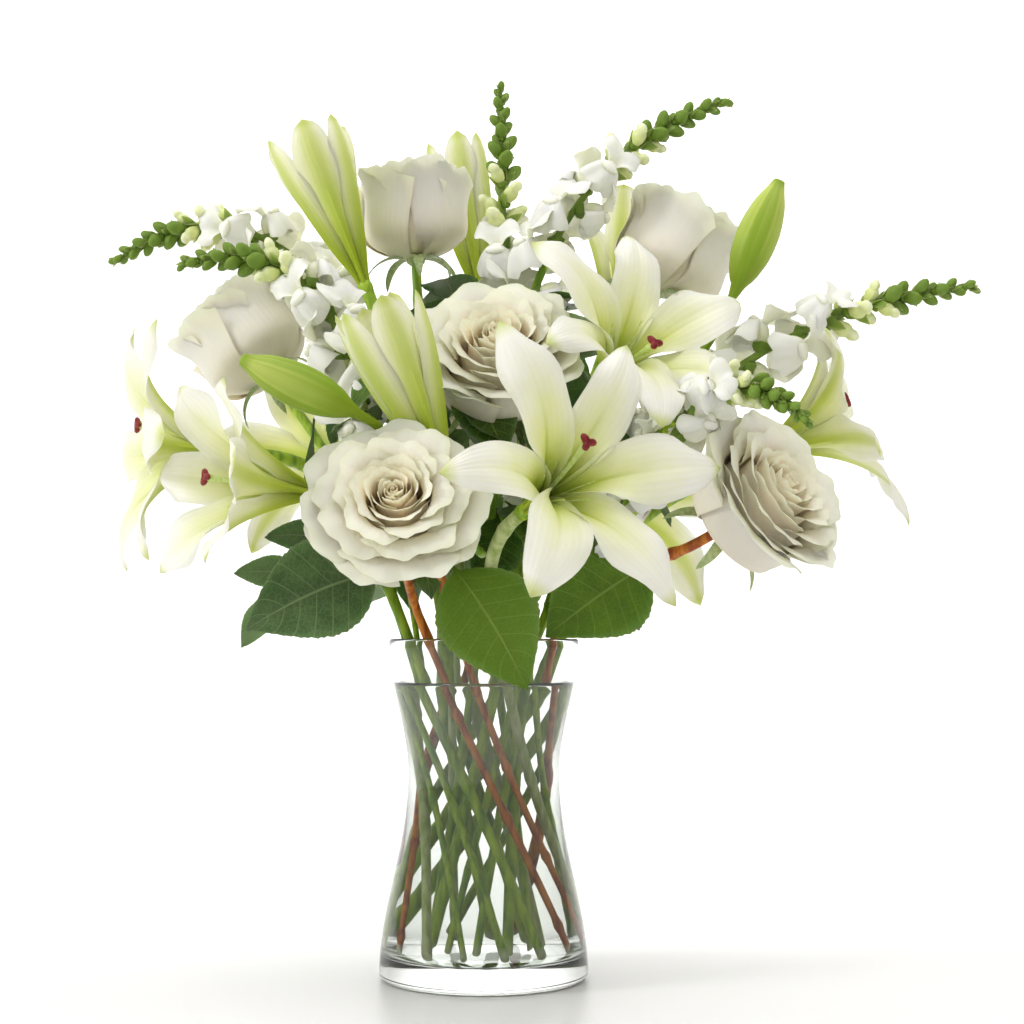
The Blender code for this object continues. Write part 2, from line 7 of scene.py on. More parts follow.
import logging
import math
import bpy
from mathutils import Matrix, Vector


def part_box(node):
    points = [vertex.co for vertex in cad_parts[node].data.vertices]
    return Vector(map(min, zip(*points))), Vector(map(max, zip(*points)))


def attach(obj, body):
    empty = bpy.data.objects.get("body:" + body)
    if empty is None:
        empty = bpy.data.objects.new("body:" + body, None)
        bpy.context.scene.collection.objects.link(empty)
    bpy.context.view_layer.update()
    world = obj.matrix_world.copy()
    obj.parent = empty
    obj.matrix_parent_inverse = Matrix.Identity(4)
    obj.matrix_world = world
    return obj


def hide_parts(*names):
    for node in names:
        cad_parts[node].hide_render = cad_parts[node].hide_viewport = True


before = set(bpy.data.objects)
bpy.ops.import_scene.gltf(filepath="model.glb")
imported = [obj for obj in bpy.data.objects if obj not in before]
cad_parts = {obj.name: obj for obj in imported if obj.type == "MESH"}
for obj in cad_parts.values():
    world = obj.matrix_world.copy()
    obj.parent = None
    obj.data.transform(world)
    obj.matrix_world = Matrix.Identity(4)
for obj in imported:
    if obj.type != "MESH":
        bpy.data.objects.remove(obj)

import zlib
from dataclasses import dataclass, field, replace
from enum import Enum
from typing import Any, Mapping, Sequence, Union

import bpy
import numpy as np
from mathutils import Vector
from numpy.typing import NDArray

Array = NDArray[np.float64]
Indices = NDArray[np.int64]

LOG = logging.getLogger("lily_vase")
MM = 0.001
SHARP_FROM = math.radians(55)
GOLDEN_ANGLE = math.radians(137.5)
CARRIED = ("along", "across", "side", "tone")
ROD_SIDES = 6
BUD_SIDES = 8
UP = np.array([0.0, 0.0, 1.0])


class Slot(str, Enum):
    """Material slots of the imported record."""

    GLASS = "clear_glass"
    LILY = "lily_white"
    BUD = "bud_green"
    ROSE = "rose_cream"
    SNAPDRAGON = "snapdragon_white"
    STEM = "stem_green"
    BARK = "bark_brown"
    LEAF = "leaf_green"


# ---- Numbers -------------------------------------------------------------------------------------
def unit(vectors: Array) -> Array:
    """Vectors scaled to length one along their last axis."""
    length = np.linalg.norm(vectors, axis=-1, keepdims=True)
    return vectors / np.maximum(length, 1e-12)


def smooth(value: Array, low: float, high: float) -> Array:
    """Smooth step: 0 below low, 1 above high, and 3 s^2 - 2 s^3 between them."""
    share = np.clip((np.asarray(value, float) - low) / (high - low), 0.0, 1.0)
    return share * share * (3.0 - 2.0 * share)


def bezier(controls: Array, shares: Array) -> Array:
    """Points of a Bezier curve: the sum of each control point times its Bernstein weight.

    Args:
        controls: Control points, one a row.
        shares: Shares of the way along, from 0 to 1.

    Returns:
        One point a share.
    """
    order = len(controls) - 1
    powers = np.arange(order + 1)
    chooses = np.array([math.comb(order, k) for k in powers], float)
    t = np.asarray(shares, float)[:, None]
    weights = chooses * t**powers * (1.0 - t) ** (order - powers)
    return weights @ np.asarray(controls, float)


def through(points: Array, count: int) -> Array:
    """Evenly shared points on a smooth curve through the given points.

    Each span is a cubic whose end slopes are half the chord between the neighbours (Catmull-Rom), and the
    spans are sampled by their chord length.

    Args:
        points: Points that the curve passes through.
        count: How many points to return.

    Returns:
        The points of the curve.
    """
    padded = np.vstack([2 * points[0] - points[1], points, 2 * points[-1] - points[-2]])
    chords = lengths(points)
    reach = np.linspace(0.0, chords[-1], count)
    span = np.clip(np.searchsorted(chords, reach, side="right") - 1, 0, len(points) - 2)
    t = ((reach - chords[span]) / (chords[span + 1] - chords[span]))[:, None]
    before, start, end, after = (padded[span + k] for k in range(4))
    return 0.5 * (
        2 * start
        + (end - before) * t
        + (2 * before - 5 * start + 4 * end - after) * t**2
        + (3 * start - before - 3 * end + after) * t**3
    )


def lengths(points: Array) -> Array:
    """Length of a line of points from its start up to each point."""
    return np.concatenate([[0.0], np.cumsum(np.linalg.norm(np.diff(points, axis=0), axis=1))])


def parameters(rows: int, columns: int) -> tuple[Array, Array]:
    """Two parameters of a sheet: along from 0 to 1 as a column, and across from -1 to 1 as a row."""
    return np.linspace(0, 1, rows)[:, None], np.linspace(-1, 1, columns)[None, :]


def stacked_rings(levels: Array, angle: Array, lobes: Union[Array, float] = 1.0) -> Array:
    """Level rings of (radius, height) levels, each radius times the lobes."""
    x, y = levels[:, :1] * lobes * np.cos(angle), levels[:, :1] * lobes * np.sin(angle)
    return np.stack([x, y, levels[:, 1:] + 0 * angle], axis=-1)


def spoke(angle: float) -> Array:
    """Level direction at an angle."""
    return np.array([math.cos(angle), math.sin(angle), 0.0])


def seeded(name: str) -> np.random.Generator:
    """Random draws that are the same in every run for the same name."""
    return np.random.default_rng(zlib.crc32(name.encode()))


# ---- Surfaces ------------------------------------------------------------------------------------
@dataclass
class Shell:
    """A closed surface as arrays, with four values carried by its points.

    along and across are the point's two parameters, side is 1 on the inner or upper face and 0 on the other,
    and tone is free for each flower's own use.
    """

    points: Array
    quads: Indices
    tris: Indices
    along: Array
    across: Array
    side: Array
    tone: Array

    def moved(self, seat: "Seat") -> "Shell":
        """The same shell placed on a seat."""
        return replace(self, points=seat.place(self.points))

    def toned(self, value: float) -> "Shell":
        """The same shell with one tone all over."""
        return replace(self, tone=np.full(len(self.points), value))


def merged(shells: Sequence[Shell]) -> Shell:
    """One shell that holds several, each still a closed body of its own."""
    starts = np.cumsum([0] + [len(shell.points) for shell in shells[:-1]])
    return Shell(
        np.concatenate([shell.points for shell in shells]),
        np.concatenate([shell.quads + start for shell, start in zip(shells, starts)]),
        np.concatenate([shell.tris + start for shell, start in zip(shells, starts)]),
        *(np.concatenate([getattr(shell, key) for shell in shells]) for key in CARRIED),
    )


def blade(centre: Array, thickness: Array) -> Shell:
    """Thin closed sheet: its two faces stand half the thickness off a centre grid and share its border.

    Args:
        centre: Grid of points, rows along by columns across by three.
        thickness: Wall at each grid point. It has no effect on the border, where the faces meet.

    Returns:
        The closed sheet. Its upper side is along the cross product of the along and across directions.
    """
    rows, columns = centre.shape[:2]
    square = unit(np.cross(np.gradient(centre, axis=0), np.gradient(centre, axis=1)))
    lift = square * thickness[..., None] / 2
    inner = (slice(1, -1), slice(1, -1))
    upper = centre.copy()
    upper[inner] += lift[inner]
    lower = (centre - lift)[inner].reshape(-1, 3)
    top = np.arange(rows * columns).reshape(rows, columns)
    under = top.copy()
    under[inner] = rows * columns + np.arange(len(lower)).reshape(rows - 2, columns - 2)

    def faces(index: Indices) -> Indices:
        """Quads of a grid of point numbers."""
        corners = [index[:-1, :-1], index[1:, :-1], index[1:, 1:], index[:-1, 1:]]
        return np.stack(corners, axis=-1).reshape(-1, 4)

    along, across = np.meshgrid(np.linspace(0, 1, rows), np.linspace(0, 1, columns), indexing="ij")
    side = np.concatenate([np.ones(rows * columns), np.zeros(len(lower))])
    side[np.setdiff1d(top, top[inner])] = 0.5
    return Shell(
        np.concatenate([upper.reshape(-1, 3), lower]),
        np.concatenate([faces(top), faces(under)[:, ::-1]]),
        np.zeros((0, 3), int),
        np.concatenate([along.ravel(), along[inner].ravel()]),
        np.concatenate([across.ravel(), across[inner].ravel()]),
        side,
        np.zeros(rows * columns + len(lower)),
    )


def closed_grid(rings: Array, start: Array, end: Array) -> Shell:
    """Closed surface of rings, shut at each end by a pole.

    Args:
        rings: Points, rings by points round by three, counter-clockwise seen against the way they follow.
        start: Pole before the first ring.
        end: Pole after the last ring.

    Returns:
        The closed surface with its faces outwards.
    """
    rows, columns = rings.shape[:2]
    index = np.arange(rows * columns).reshape(rows, columns)
    after = np.roll(index, -1, axis=1)
    quads = np.stack([index[:-1], after[:-1], after[1:], index[1:]], axis=-1).reshape(-1, 4)
    poles = np.full(columns, rows * columns)
    caps = [
        np.stack([poles, after[0], index[0]], axis=-1),
        np.stack([poles + 1, index[-1], after[-1]], axis=-1),
    ]
    along, across = np.meshgrid(np.linspace(0, 1, rows), np.arange(columns) / columns, indexing="ij")
    return Shell(
        np.concatenate([rings.reshape(-1, 3), [start], [end]]),
        quads,
        np.concatenate(caps),
        np.concatenate([along.ravel(), [0.0, 1.0]]),
        np.concatenate([across.ravel(), [0.0, 0.0]]),
        np.ones(rows * columns + 2),
        np.zeros(rows * columns + 2),
    )


def tube(path: Array, radii: Array, sides: int, lobes: float = 0.0, cut: float = 0.0) -> Shell:
    """Round rod: rings of radius r(along) stand square on the path.

    Args:
        path: Centreline points.
        radii: Radius at each point.
        sides: Points round.
        lobes: Depth of three shallow ribs, as a share of the radius.
        cut: Slant of the first end, as a share of its radius, as a stem is cut.

    Returns:
        The closed rod.
    """
    tangents = unit(np.gradient(path, axis=0))
    plane = np.cross(tangents[0], tangents[-1])
    reference = plane if np.linalg.norm(plane) > 0.05 else np.cross(tangents[0], [0.31, 0.95, 0.02])
    side = unit(reference - tangents * (tangents @ reference)[:, None])
    other = np.cross(tangents, side)
    angle = np.linspace(0, 2 * np.pi, sides, endpoint=False)
    reach = radii[:, None] * (1 + lobes * np.cos(3 * angle))[None, :]
    rings = path[:, None] + reach[..., None] * (
        np.cos(angle)[None, :, None] * side[:, None] + np.sin(angle)[None, :, None] * other[:, None]
    )
    rings[0] += cut * reach[0][:, None] * np.cos(angle)[:, None] * tangents[0]
    return closed_grid(rings, path[0], path[-1] + tangents[-1] * radii[-1] * 0.3)


def turned(profile: Array, sides: int) -> Shell:
    """Turned shape: the profile's (radius, height) points carried round the vertical axis.

    Args:
        profile: Points from the middle of the underside, up the outside and back to the axis.
        sides: Points round.

    Returns:
        The closed shape.
    """
    angle = np.linspace(0, 2 * np.pi, sides, endpoint=False)
    radius, height = profile[1:-1, 0][:, None], profile[1:-1, 1][:, None]
    rings = np.stack([radius * np.cos(angle), radius * np.sin(angle), height + 0 * angle], axis=-1)
    return closed_grid(rings, np.array([0, 0, profile[0, 1]]), np.array([0, 0, profile[-1, 1]]))


@dataclass(frozen=True)
class Seat:
    """A place with three square directions: side, front and axis."""

    origin: Array
    axis: Array
    side: Array

    @staticmethod
    def facing(origin: Array, axis: Array, towards: Array = UP) -> "Seat":
        """Seat whose front is as near as it can be to a direction.

        Args:
            origin: Its place.
            axis: Its main direction.
            towards: Direction that its front leans to.

        Returns:
            The seat.
        """
        axis = unit(np.asarray(axis, float))
        side = np.cross(towards, axis)
        if np.linalg.norm(side) < 1e-3:
            side = np.cross([0.0, 1.0, 0.2], axis)
        return Seat(np.asarray(origin, float), axis, unit(side))

    @property
    def front(self) -> Array:
        """Third direction, square to the other two."""
        return np.cross(self.axis, self.side)

    def place(self, points: Array) -> Array:
        """World points of local (side, front, axis) points."""
        return self.origin + points @ np.stack([self.side, self.front, self.axis])

    def local(self, points: Array) -> Array:
        """Local (side, front, axis) points of world points."""
        return (points - self.origin) @ np.stack([self.side, self.front, self.axis]).T

    def turned(self, angle: float) -> "Seat":
        """The same seat rolled about its axis by an angle in radians."""
        return Seat(self.origin, self.axis, math.cos(angle) * self.side + math.sin(angle) * self.front)

    def along(self, distance: float) -> "Seat":
        """The same seat moved along its axis."""
        return Seat(self.origin + self.axis * distance, self.axis, self.side)


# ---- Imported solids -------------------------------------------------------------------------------
@dataclass(frozen=True)
class Packed:
    """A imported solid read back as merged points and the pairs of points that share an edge."""

    points: Array
    edges: Indices

    @staticmethod
    def read(node: str) -> "Packed":
        """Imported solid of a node, its doubled points merged to a hundredth of a millimetre."""
        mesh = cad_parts[node].data
        raw = np.empty(len(mesh.vertices) * 3)
        mesh.vertices.foreach_get("co", raw)
        corners = np.empty(len(mesh.loops), np.int32)
        mesh.loops.foreach_get("vertex_index", corners)
        points, index = np.unique(np.round(raw.reshape(-1, 3), 5), axis=0, return_inverse=True)
        faces = index.reshape(-1)[corners].reshape(-1, 3)
        return Packed(points, np.concatenate([faces[:, [0, 1]], faces[:, [1, 2]], faces[:, [2, 0]]]))

    def nearest(self, places: Array) -> Array:
        """Point of the solid that is nearest to any of some places."""
        gaps = np.linalg.norm(self.points[:, None] - np.atleast_2d(places)[None], axis=2)
        return self.points[gaps.min(1).argmin()]

    def centreline(self, end: Array, sides: int) -> tuple[Array, Array]:
        """Middle and radius of each ring of a tube, followed from the end that holds a given point.

        The first ring is the points nearest to that end, and each next ring is what shares an edge with it.

        Args:
            end: A point of the end cap to start from.
            sides: Points in a ring.

        Returns:
            Ring middles, and ring radii.
        """
        gaps = np.linalg.norm(self.points - end, axis=1)
        ring = np.zeros(len(self.points), bool)
        ring[np.argsort(gaps)[:sides]] = True
        seen, middles, radii = ring.copy(), [], []
        while ring.any():
            middle = self.points[ring].mean(0)
            middles.append(middle)
            radii.append(np.linalg.norm(self.points[ring] - middle, axis=1).mean())
            touched = np.zeros(len(self.points), bool)
            touched[self.edges[ring[self.edges[:, 0]], 1]] = True
            touched[self.edges[ring[self.edges[:, 1]], 0]] = True
            ring = touched & ~seen
            seen |= ring
        return np.array(middles), np.array(radii)


# ---- Shader tables -------------------------------------------------------------------------------
class Wave:
    """A shader socket that takes part in Python expressions."""

    def __init__(self, desk: "Desk", socket: bpy.types.NodeSocket) -> None:
        """Keeps the socket and the desk that its node is on."""
        self.desk = desk
        self.socket = socket

    def __add__(self, other: "Operand") -> "Wave":
        """Sum."""
        return self.desk.maths("ADD", self, other)

    def __sub__(self, other: "Operand") -> "Wave":
        """Difference."""
        return self.desk.maths("SUBTRACT", self, other)

    def __rsub__(self, other: "Operand") -> "Wave":
        """Difference from a number."""
        return self.desk.maths("SUBTRACT", other, self)

    def __mul__(self, other: "Operand") -> "Wave":
        """Product."""
        return self.desk.maths("MULTIPLY", self, other)

    def __pow__(self, other: "Operand") -> "Wave":
        """Power."""
        return self.desk.maths("POWER", self, other)

    __radd__ = __add__
    __rmul__ = __mul__

    def __abs__(self) -> "Wave":
        """Size without its sign."""
        return self.desk.maths("ABSOLUTE", self)


Operand = Union[Wave, float]
Colour = tuple[float, float, float]


class Desk:
    """Adds and joins the nodes of one material, or of the world."""

    def __init__(self, owner: Union[bpy.types.Material, bpy.types.World]) -> None:
        """Starts from an empty node tree."""
        owner.use_nodes = True
        self.tree = owner.node_tree
        self.tree.nodes.clear()

    def add(
        self, kind: str, settings: Mapping[str, Any], inputs: Mapping[Union[int, str], Any]
    ) -> bpy.types.Node:
        """Adds a node.

        Args:
            kind: Node type.
            settings: Its properties, set first.
            inputs: A value, a colour or a wave for each socket, by name or number.

        Returns:
            The node.
        """
        node = self.tree.nodes.new(kind)
        for key, value in settings.items():
            setattr(node, key, value)
        for key, value in inputs.items():
            if isinstance(value, Wave):
                self.tree.links.new(value.socket, node.inputs[key])
            elif isinstance(value, tuple) and len(value) == 3 and node.inputs[key].type == "RGBA":
                node.inputs[key].default_value = (*value, 1.0)
            else:
                node.inputs[key].default_value = value
        return node

    def maths(self, operation: str, *values: Operand) -> Wave:
        """One Math node on waves or numbers."""
        node = self.add("ShaderNodeMath", {"operation": operation}, dict(enumerate(values)))
        return Wave(self, node.outputs[0])

    def step(self, value: Wave, low: float, high: float) -> Wave:
        """Smooth step: 0 where the value is at or below low, and 1 at or above high."""
        settings = {"interpolation_type": "SMOOTHSTEP"}
        node = self.add("ShaderNodeMapRange", settings, {"Value": value, "From Min": low, "From Max": high})
        return Wave(self, node.outputs["Result"])

    def mix(self, share: Operand, first: Union[Wave, Colour], second: Union[Wave, Colour]) -> Wave:
        """Colour between two: the first where share is 0, the second where it is 1."""
        node = self.add("ShaderNodeMix", {"data_type": "RGBA"}, {0: share, 6: first, 7: second})
        return Wave(self, node.outputs[2])

    def carried(self, name: str) -> Wave:
        """Value that the mesh carries under a name."""
        return Wave(self, self.add("ShaderNodeAttribute", {"attribute_name": name}, {}).outputs["Fac"])

    def noise(self, scale: float, detail: float = 2.0, stretch: Colour = (1.0, 1.0, 1.0)) -> Wave:
        """Cloudy pattern from 0 to 1 on object coordinates, with scale in waves a metre."""
        source = Wave(self, self.add("ShaderNodeTexCoord", {}, {}).outputs["Object"])
        place = self.add("ShaderNodeMapping", {}, {0: source, "Scale": stretch})
        settings = {"Vector": Wave(self, place.outputs[0]), "Scale": scale, "Detail": detail}
        return Wave(self, self.add("ShaderNodeTexNoise", {}, settings).outputs[0])

    def bump(self, height: Wave, depth: float) -> Wave:
        """Normal of a surface raised by a height from 0 to 1, times a depth in metres."""
        node = self.add("ShaderNodeBump", {}, {"Height": height, "Distance": depth, "Strength": 1.0})
        return Wave(self, node.outputs[0])

    def gloss(self, **sockets: Any) -> None:
        """Principled shader on the material's output, sockets named with _ for a space."""
        inputs = {key.replace("_", " "): value for key, value in sockets.items()}
        shader = self.add("ShaderNodeBsdfPrincipled", {}, inputs)
        self.add("ShaderNodeOutputMaterial", {}, {0: Wave(self, shader.outputs[0])})


@dataclass(frozen=True)
class Finish:
    """A finish: its name and the slot that it stands for."""

    name: str
    slot: Slot

    def dress(self, desk: Desk) -> None:
        """Lays out the finish's nodes."""
        raise NotImplementedError

    def material(self) -> bpy.types.Material:
        """The finish's material, made the first time that it is asked for."""
        found = bpy.data.materials.get(self.name)
        if found is None:
            found = bpy.data.materials.new(self.name)
            self.dress(Desk(found))
        return found


PETAL_GLOW = {
    "Subsurface_Weight": 0.45,
    "Subsurface_Radius": (0.0045, 0.0045, 0.0024),
    "Subsurface_Scale": 1.0,
    "Specular_IOR_Level": 0.35,
}


@dataclass(frozen=True)
class TepalFinish(Finish):
    """Lily tepal: white, yellow-green down its throat and darker green deep in it, partly painted shade, with a
    green midrib outside and a tinged tip.
    """

    white: Colour = (0.930, 0.915, 0.780)
    throat: Colour = (0.58, 0.66, 0.045)
    # Darker green deep in the throat: partly the lily's own green base, partly painted shade in the trumpet.
    deep_green_and_shade: Colour = (0.22, 0.31, 0.008)
    rib: Colour = (0.43, 0.53, 0.035)
    throat_reach: float = 0.94
    rib_reach: float = 0.36

    def dress(self, desk: Desk) -> None:
        """White with green worked in along the midrib, from the base and at the tip."""
        along, across, side = desk.carried("along"), desk.carried("across"), desk.carried("side")
        off_middle = abs(across - 0.5) * 2.0
        cloud = desk.noise(60.0) * 0.24 - 0.12
        base = (1.0 - desk.step(along + off_middle * 0.14 + cloud, 0.04, self.throat_reach)) ** 0.85 * 0.97
        colour = desk.mix(base, self.white, self.throat)
        # Painted shade, partly: the throat darkens to a deeper green down in the trumpet's well, over the
        # lily's own green base.
        well_and_shade_mask = (1.0 - desk.step(along, 0.12, 0.46)) * (1.0 - off_middle * 0.30)
        colour = desk.mix(well_and_shade_mask, colour, self.deep_green_and_shade)
        groove = (1.0 - desk.step(off_middle, 0.02, 0.13)) * (1.0 - desk.step(along, 0.22, 0.62)) * side
        colour = desk.mix(groove * 0.75, colour, self.rib)
        rib = (1.0 - desk.step(off_middle, self.rib_reach * 0.15, self.rib_reach + 0.12)) * (1.0 - side)
        colour = desk.mix(rib * (1.0 - along * 0.45) * 0.85, colour, self.rib)
        colour = desk.mix(desk.step(along, 0.90, 1.0) * 0.80, colour, self.rib)
        veins = desk.maths("SINE", across * 62.0 + desk.noise(40.0) * 4.0)
        colour = desk.mix(desk.step(veins, 0.2, 1.0) * 0.06, colour, self.throat)
        relief = veins * 0.5 + desk.noise(1100.0) * 0.5
        desk.gloss(
            Base_Color=colour,
            Roughness=0.42 + desk.noise(300.0) * 0.12,
            Normal=desk.bump(relief, 0.00009),
            **PETAL_GLOW,
        )


@dataclass(frozen=True)
class RoseFinish(Finish):
    """Rose petal: cream, with peach in the heart as its own colour and peach low in the petals and in the folds
    as painted warm shade, with a pale green rim.
    """

    cream: Colour = (0.955, 0.930, 0.730)
    # Peach: the heart's own colour, and also painted warm shade low in the petals and in the folds.
    peach_and_warm_shade: Colour = (0.98, 0.70, 0.38)
    blush: Colour = (0.955, 0.875, 0.745)
    rim: Colour = (0.90, 0.935, 0.70)
    base: Colour = (0.66, 0.72, 0.32)

    def dress(self, desk: Desk) -> None:
        """Cream that warms to peach in the heart, partly the rose's own peach, and low in the petals, where the
        peach is painted warm shade.
        """
        along, tone = desk.carried("along"), desk.carried("tone")
        cloud = desk.noise(45.0)
        colour = desk.mix(cloud * 0.7, self.cream, self.blush)
        # Painted warm shade: peach low in each petal and in the folds stands for shade between petals; in the
        # heart it is partly the rose's own peach.
        peach_and_shade_mask = desk.step(tone * 0.80 + (1.0 - along) * 0.75 + cloud * 0.2, 0.22, 1.20)
        colour = desk.mix(peach_and_shade_mask * 0.80, colour, self.peach_and_warm_shade)
        colour = desk.mix(desk.step(along, 0.86, 1.0) * 0.7, colour, self.rim)
        foot = (1.0 - desk.step(along, 0.0, 0.25)) * (1.0 - desk.step(tone, 0.05, 0.3))
        colour = desk.mix(foot * 0.8, colour, self.base)
        veins = desk.maths("SINE", desk.carried("across") * 90.0) * 0.35 + desk.noise(700.0) * 0.65
        desk.gloss(
            Base_Color=colour,
            Roughness=0.52 + desk.noise(200.0) * 0.12,
            Normal=desk.bump(veins, 0.00008),
            **PETAL_GLOW,
        )


@dataclass(frozen=True)
class FloretFinish(Finish):
    """Snapdragon floret: white lips on a pale green tube, and green where tone is 1."""

    white: Colour = (0.935, 0.930, 0.815)
    pale: Colour = (0.64, 0.71, 0.27)
    green: Colour = (0.155, 0.255, 0.030)

    def dress(self, desk: Desk) -> None:
        """White to green by tone, greener towards the base."""
        along, tone = desk.carried("along"), desk.carried("tone")
        cloud = desk.noise(160.0) * 0.3 - 0.15
        colour = desk.mix(desk.step(tone + (1.0 - along) * 0.30 + cloud, 0.14, 0.66), self.white, self.pale)
        colour = desk.mix(desk.step(tone + cloud * 0.5, 0.55, 0.95), colour, self.green)
        desk.gloss(
            Base_Color=colour,
            Roughness=0.55,
            Normal=desk.bump(desk.noise(900.0), 0.00015),
            **PETAL_GLOW,
        )


@dataclass(frozen=True)
class StemFinish(Finish):
    """Stem or bark: two shades in long streaks, with a paler cut where tone is 1."""

    shade: Colour = (0.15, 0.30, 0.008)
    light: Colour = (0.42, 0.60, 0.030)
    cut: Colour = (0.62, 0.68, 0.42)
    roughness: float = 0.38

    def dress(self, desk: Desk) -> None:
        """Streaks along the stem and small flecks."""
        streak = desk.noise(220.0, 3.0, (1.0, 1.0, 0.12))
        colour = desk.mix(desk.step(streak, 0.32, 0.68), self.shade, self.light)
        colour = desk.mix(desk.carried("tone"), colour, self.cut)
        height = streak * 0.7 + desk.noise(1200.0) * 0.3
        desk.gloss(
            Base_Color=colour,
            Roughness=self.roughness + streak * 0.2,
            Normal=desk.bump(height, 0.0003),
        )


@dataclass(frozen=True)
class LeafFinish(Finish):
    """Leaf: green with a pale midrib, slanting side veins and a fine net, paler underneath."""

    shade: Colour = (0.016, 0.052, 0.008)
    light: Colour = (0.115, 0.215, 0.010)
    vein: Colour = (0.25, 0.37, 0.07)
    under: Colour = (0.22, 0.30, 0.13)

    def dress(self, desk: Desk) -> None:
        """Veins from the leaf's own along and across values; tone lightens the whole leaf."""
        along, across, side = desk.carried("along"), desk.carried("across"), desk.carried("side")
        tone = desk.carried("tone")
        off_middle = abs(across - 0.5) * 2.0
        cloud = desk.noise(90.0)
        colour = desk.mix(desk.step(cloud * 0.5 + tone * 0.75, 0.2, 1.0), self.shade, self.light)
        rank = desk.maths("FRACT", (along - off_middle * 0.17) * 8.0)
        side_vein = 1.0 - desk.step(abs(rank - 0.5), 0.015, 0.065)
        midrib = 1.0 - desk.step(off_middle, 0.012, 0.040)
        grid = desk.add("ShaderNodeCombineXYZ", {}, {0: along * 26.0, 1: across * 15.0, 2: tone})
        net = desk.add(
            "ShaderNodeTexVoronoi",
            {"feature": "DISTANCE_TO_EDGE"},
            {"Vector": Wave(desk, grid.outputs[0]), "Scale": 1.0},
        )
        net_vein = 1.0 - desk.step(Wave(desk, net.outputs["Distance"]), 0.01, 0.10)
        veins = desk.maths("MAXIMUM", desk.maths("MAXIMUM", midrib, side_vein * 0.60), net_vein * 0.30)
        colour = desk.mix(veins * 0.60, colour, self.vein)
        colour = desk.mix((1.0 - side) * 0.55, colour, self.under)
        desk.gloss(
            Base_Color=colour,
            Roughness=0.36 + cloud * 0.22,
            Normal=desk.bump(1.0 - veins + desk.noise(500.0) * 0.3, 0.00035),
            Specular_IOR_Level=0.35,
            Subsurface_Weight=0.12,
            Subsurface_Radius=(0.001, 0.003, 0.0005),
            Subsurface_Scale=1.0,
        )


@dataclass(frozen=True)
class PlainGreenFinish(Finish):
    """Small fleshy part: one colour with a soft cloud to a second one."""

    first: Colour = (0.52, 0.66, 0.18)
    second: Colour = (0.66, 0.76, 0.34)
    roughness: float = 0.35

    def dress(self, desk: Desk) -> None:
        """Cloud of two colours with a fine grain."""
        colour = desk.mix(desk.step(desk.noise(420.0), 0.35, 0.65), self.first, self.second)
        grain = desk.noise(2200.0)
        desk.gloss(
            Base_Color=colour, Roughness=self.roughness + grain * 0.1, Normal=desk.bump(grain, 0.0002)
        )


@dataclass(frozen=True)
class ClearFinish(Finish):
    """Glass or water: clear, smooth and refracting."""

    tint: Colour = (1.0, 1.0, 1.0)
    index: float = 1.5

    def dress(self, desk: Desk) -> None:
        """Fully transmitting shader with faint unevenness in its surface."""
        desk.gloss(
            Base_Color=self.tint,
            Roughness=0.0,
            IOR=self.index,
            Transmission_Weight=1.0,
            Specular_IOR_Level=0.12,
            Normal=desk.bump(desk.noise(14.0), 0.0002),
        )


@dataclass(frozen=True)
class StudioFinish(Finish):
    """Matt white of the floor and backdrop."""

    white: Colour = (0.76, 0.76, 0.76)
    glow: float = 0.03

    def dress(self, desk: Desk) -> None:
        """Flat white with a faint sheen that mirrors the foot of the vase."""
        desk.gloss(
            Base_Color=self.white, Roughness=0.35, Specular_IOR_Level=0.3,
            Emission_Color=(1.0, 1.0, 1.0), Emission_Strength=self.glow,
        )


class Finishes:
    """The bouquet's finishes."""

    lily = TepalFinish("lily tepal", Slot.LILY)
    half_open = TepalFinish(
        "half-open lily tepal", Slot.LILY, white=(0.885, 0.885, 0.64), throat=(0.50, 0.60, 0.045),
        rib=(0.37, 0.48, 0.015), throat_reach=1.10, rib_reach=0.62,
    )
    bud = TepalFinish(
        "lily bud", Slot.BUD, white=(0.58, 0.66, 0.16), throat=(0.27, 0.40, 0.02), rib=(0.22, 0.36, 0.012),
        throat_reach=1.3, rib_reach=0.62,
    )
    pistil = PlainGreenFinish("pistil", Slot.LILY)
    stigma = PlainGreenFinish("stigma", Slot.LILY, (0.18, 0.008, 0.012), (0.30, 0.018, 0.025), 0.34)
    rose = RoseFinish("rose petal", Slot.ROSE)
    sepal = PlainGreenFinish("rose sepal", Slot.ROSE, (0.34, 0.44, 0.18), (0.50, 0.58, 0.30), 0.5)
    floret = FloretFinish("snapdragon floret", Slot.SNAPDRAGON)
    stem = StemFinish("green stem", Slot.STEM)
    pale_stem = StemFinish("pale stem", Slot.STEM, (0.33, 0.44, 0.11), (0.60, 0.67, 0.31))
    bark = StemFinish("brown bark", Slot.BARK, (0.32, 0.055, 0.003), (0.72, 0.24, 0.015), roughness=0.40)
    leaf = LeafFinish("veined leaf", Slot.LEAF)
    grey_leaf = LeafFinish(
        "grey-green leaf", Slot.LEAF, (0.045, 0.090, 0.030), (0.15, 0.23, 0.085), (0.24, 0.34, 0.15),
        under=(0.20, 0.27, 0.15),
    )
    glass = ClearFinish("clear glass", Slot.GLASS, (0.965, 0.985, 0.97))
    water = ClearFinish("water", Slot.GLASS, (0.985, 0.995, 0.98), index=1.333)
    studio = StudioFinish("studio white", Slot.GLASS)


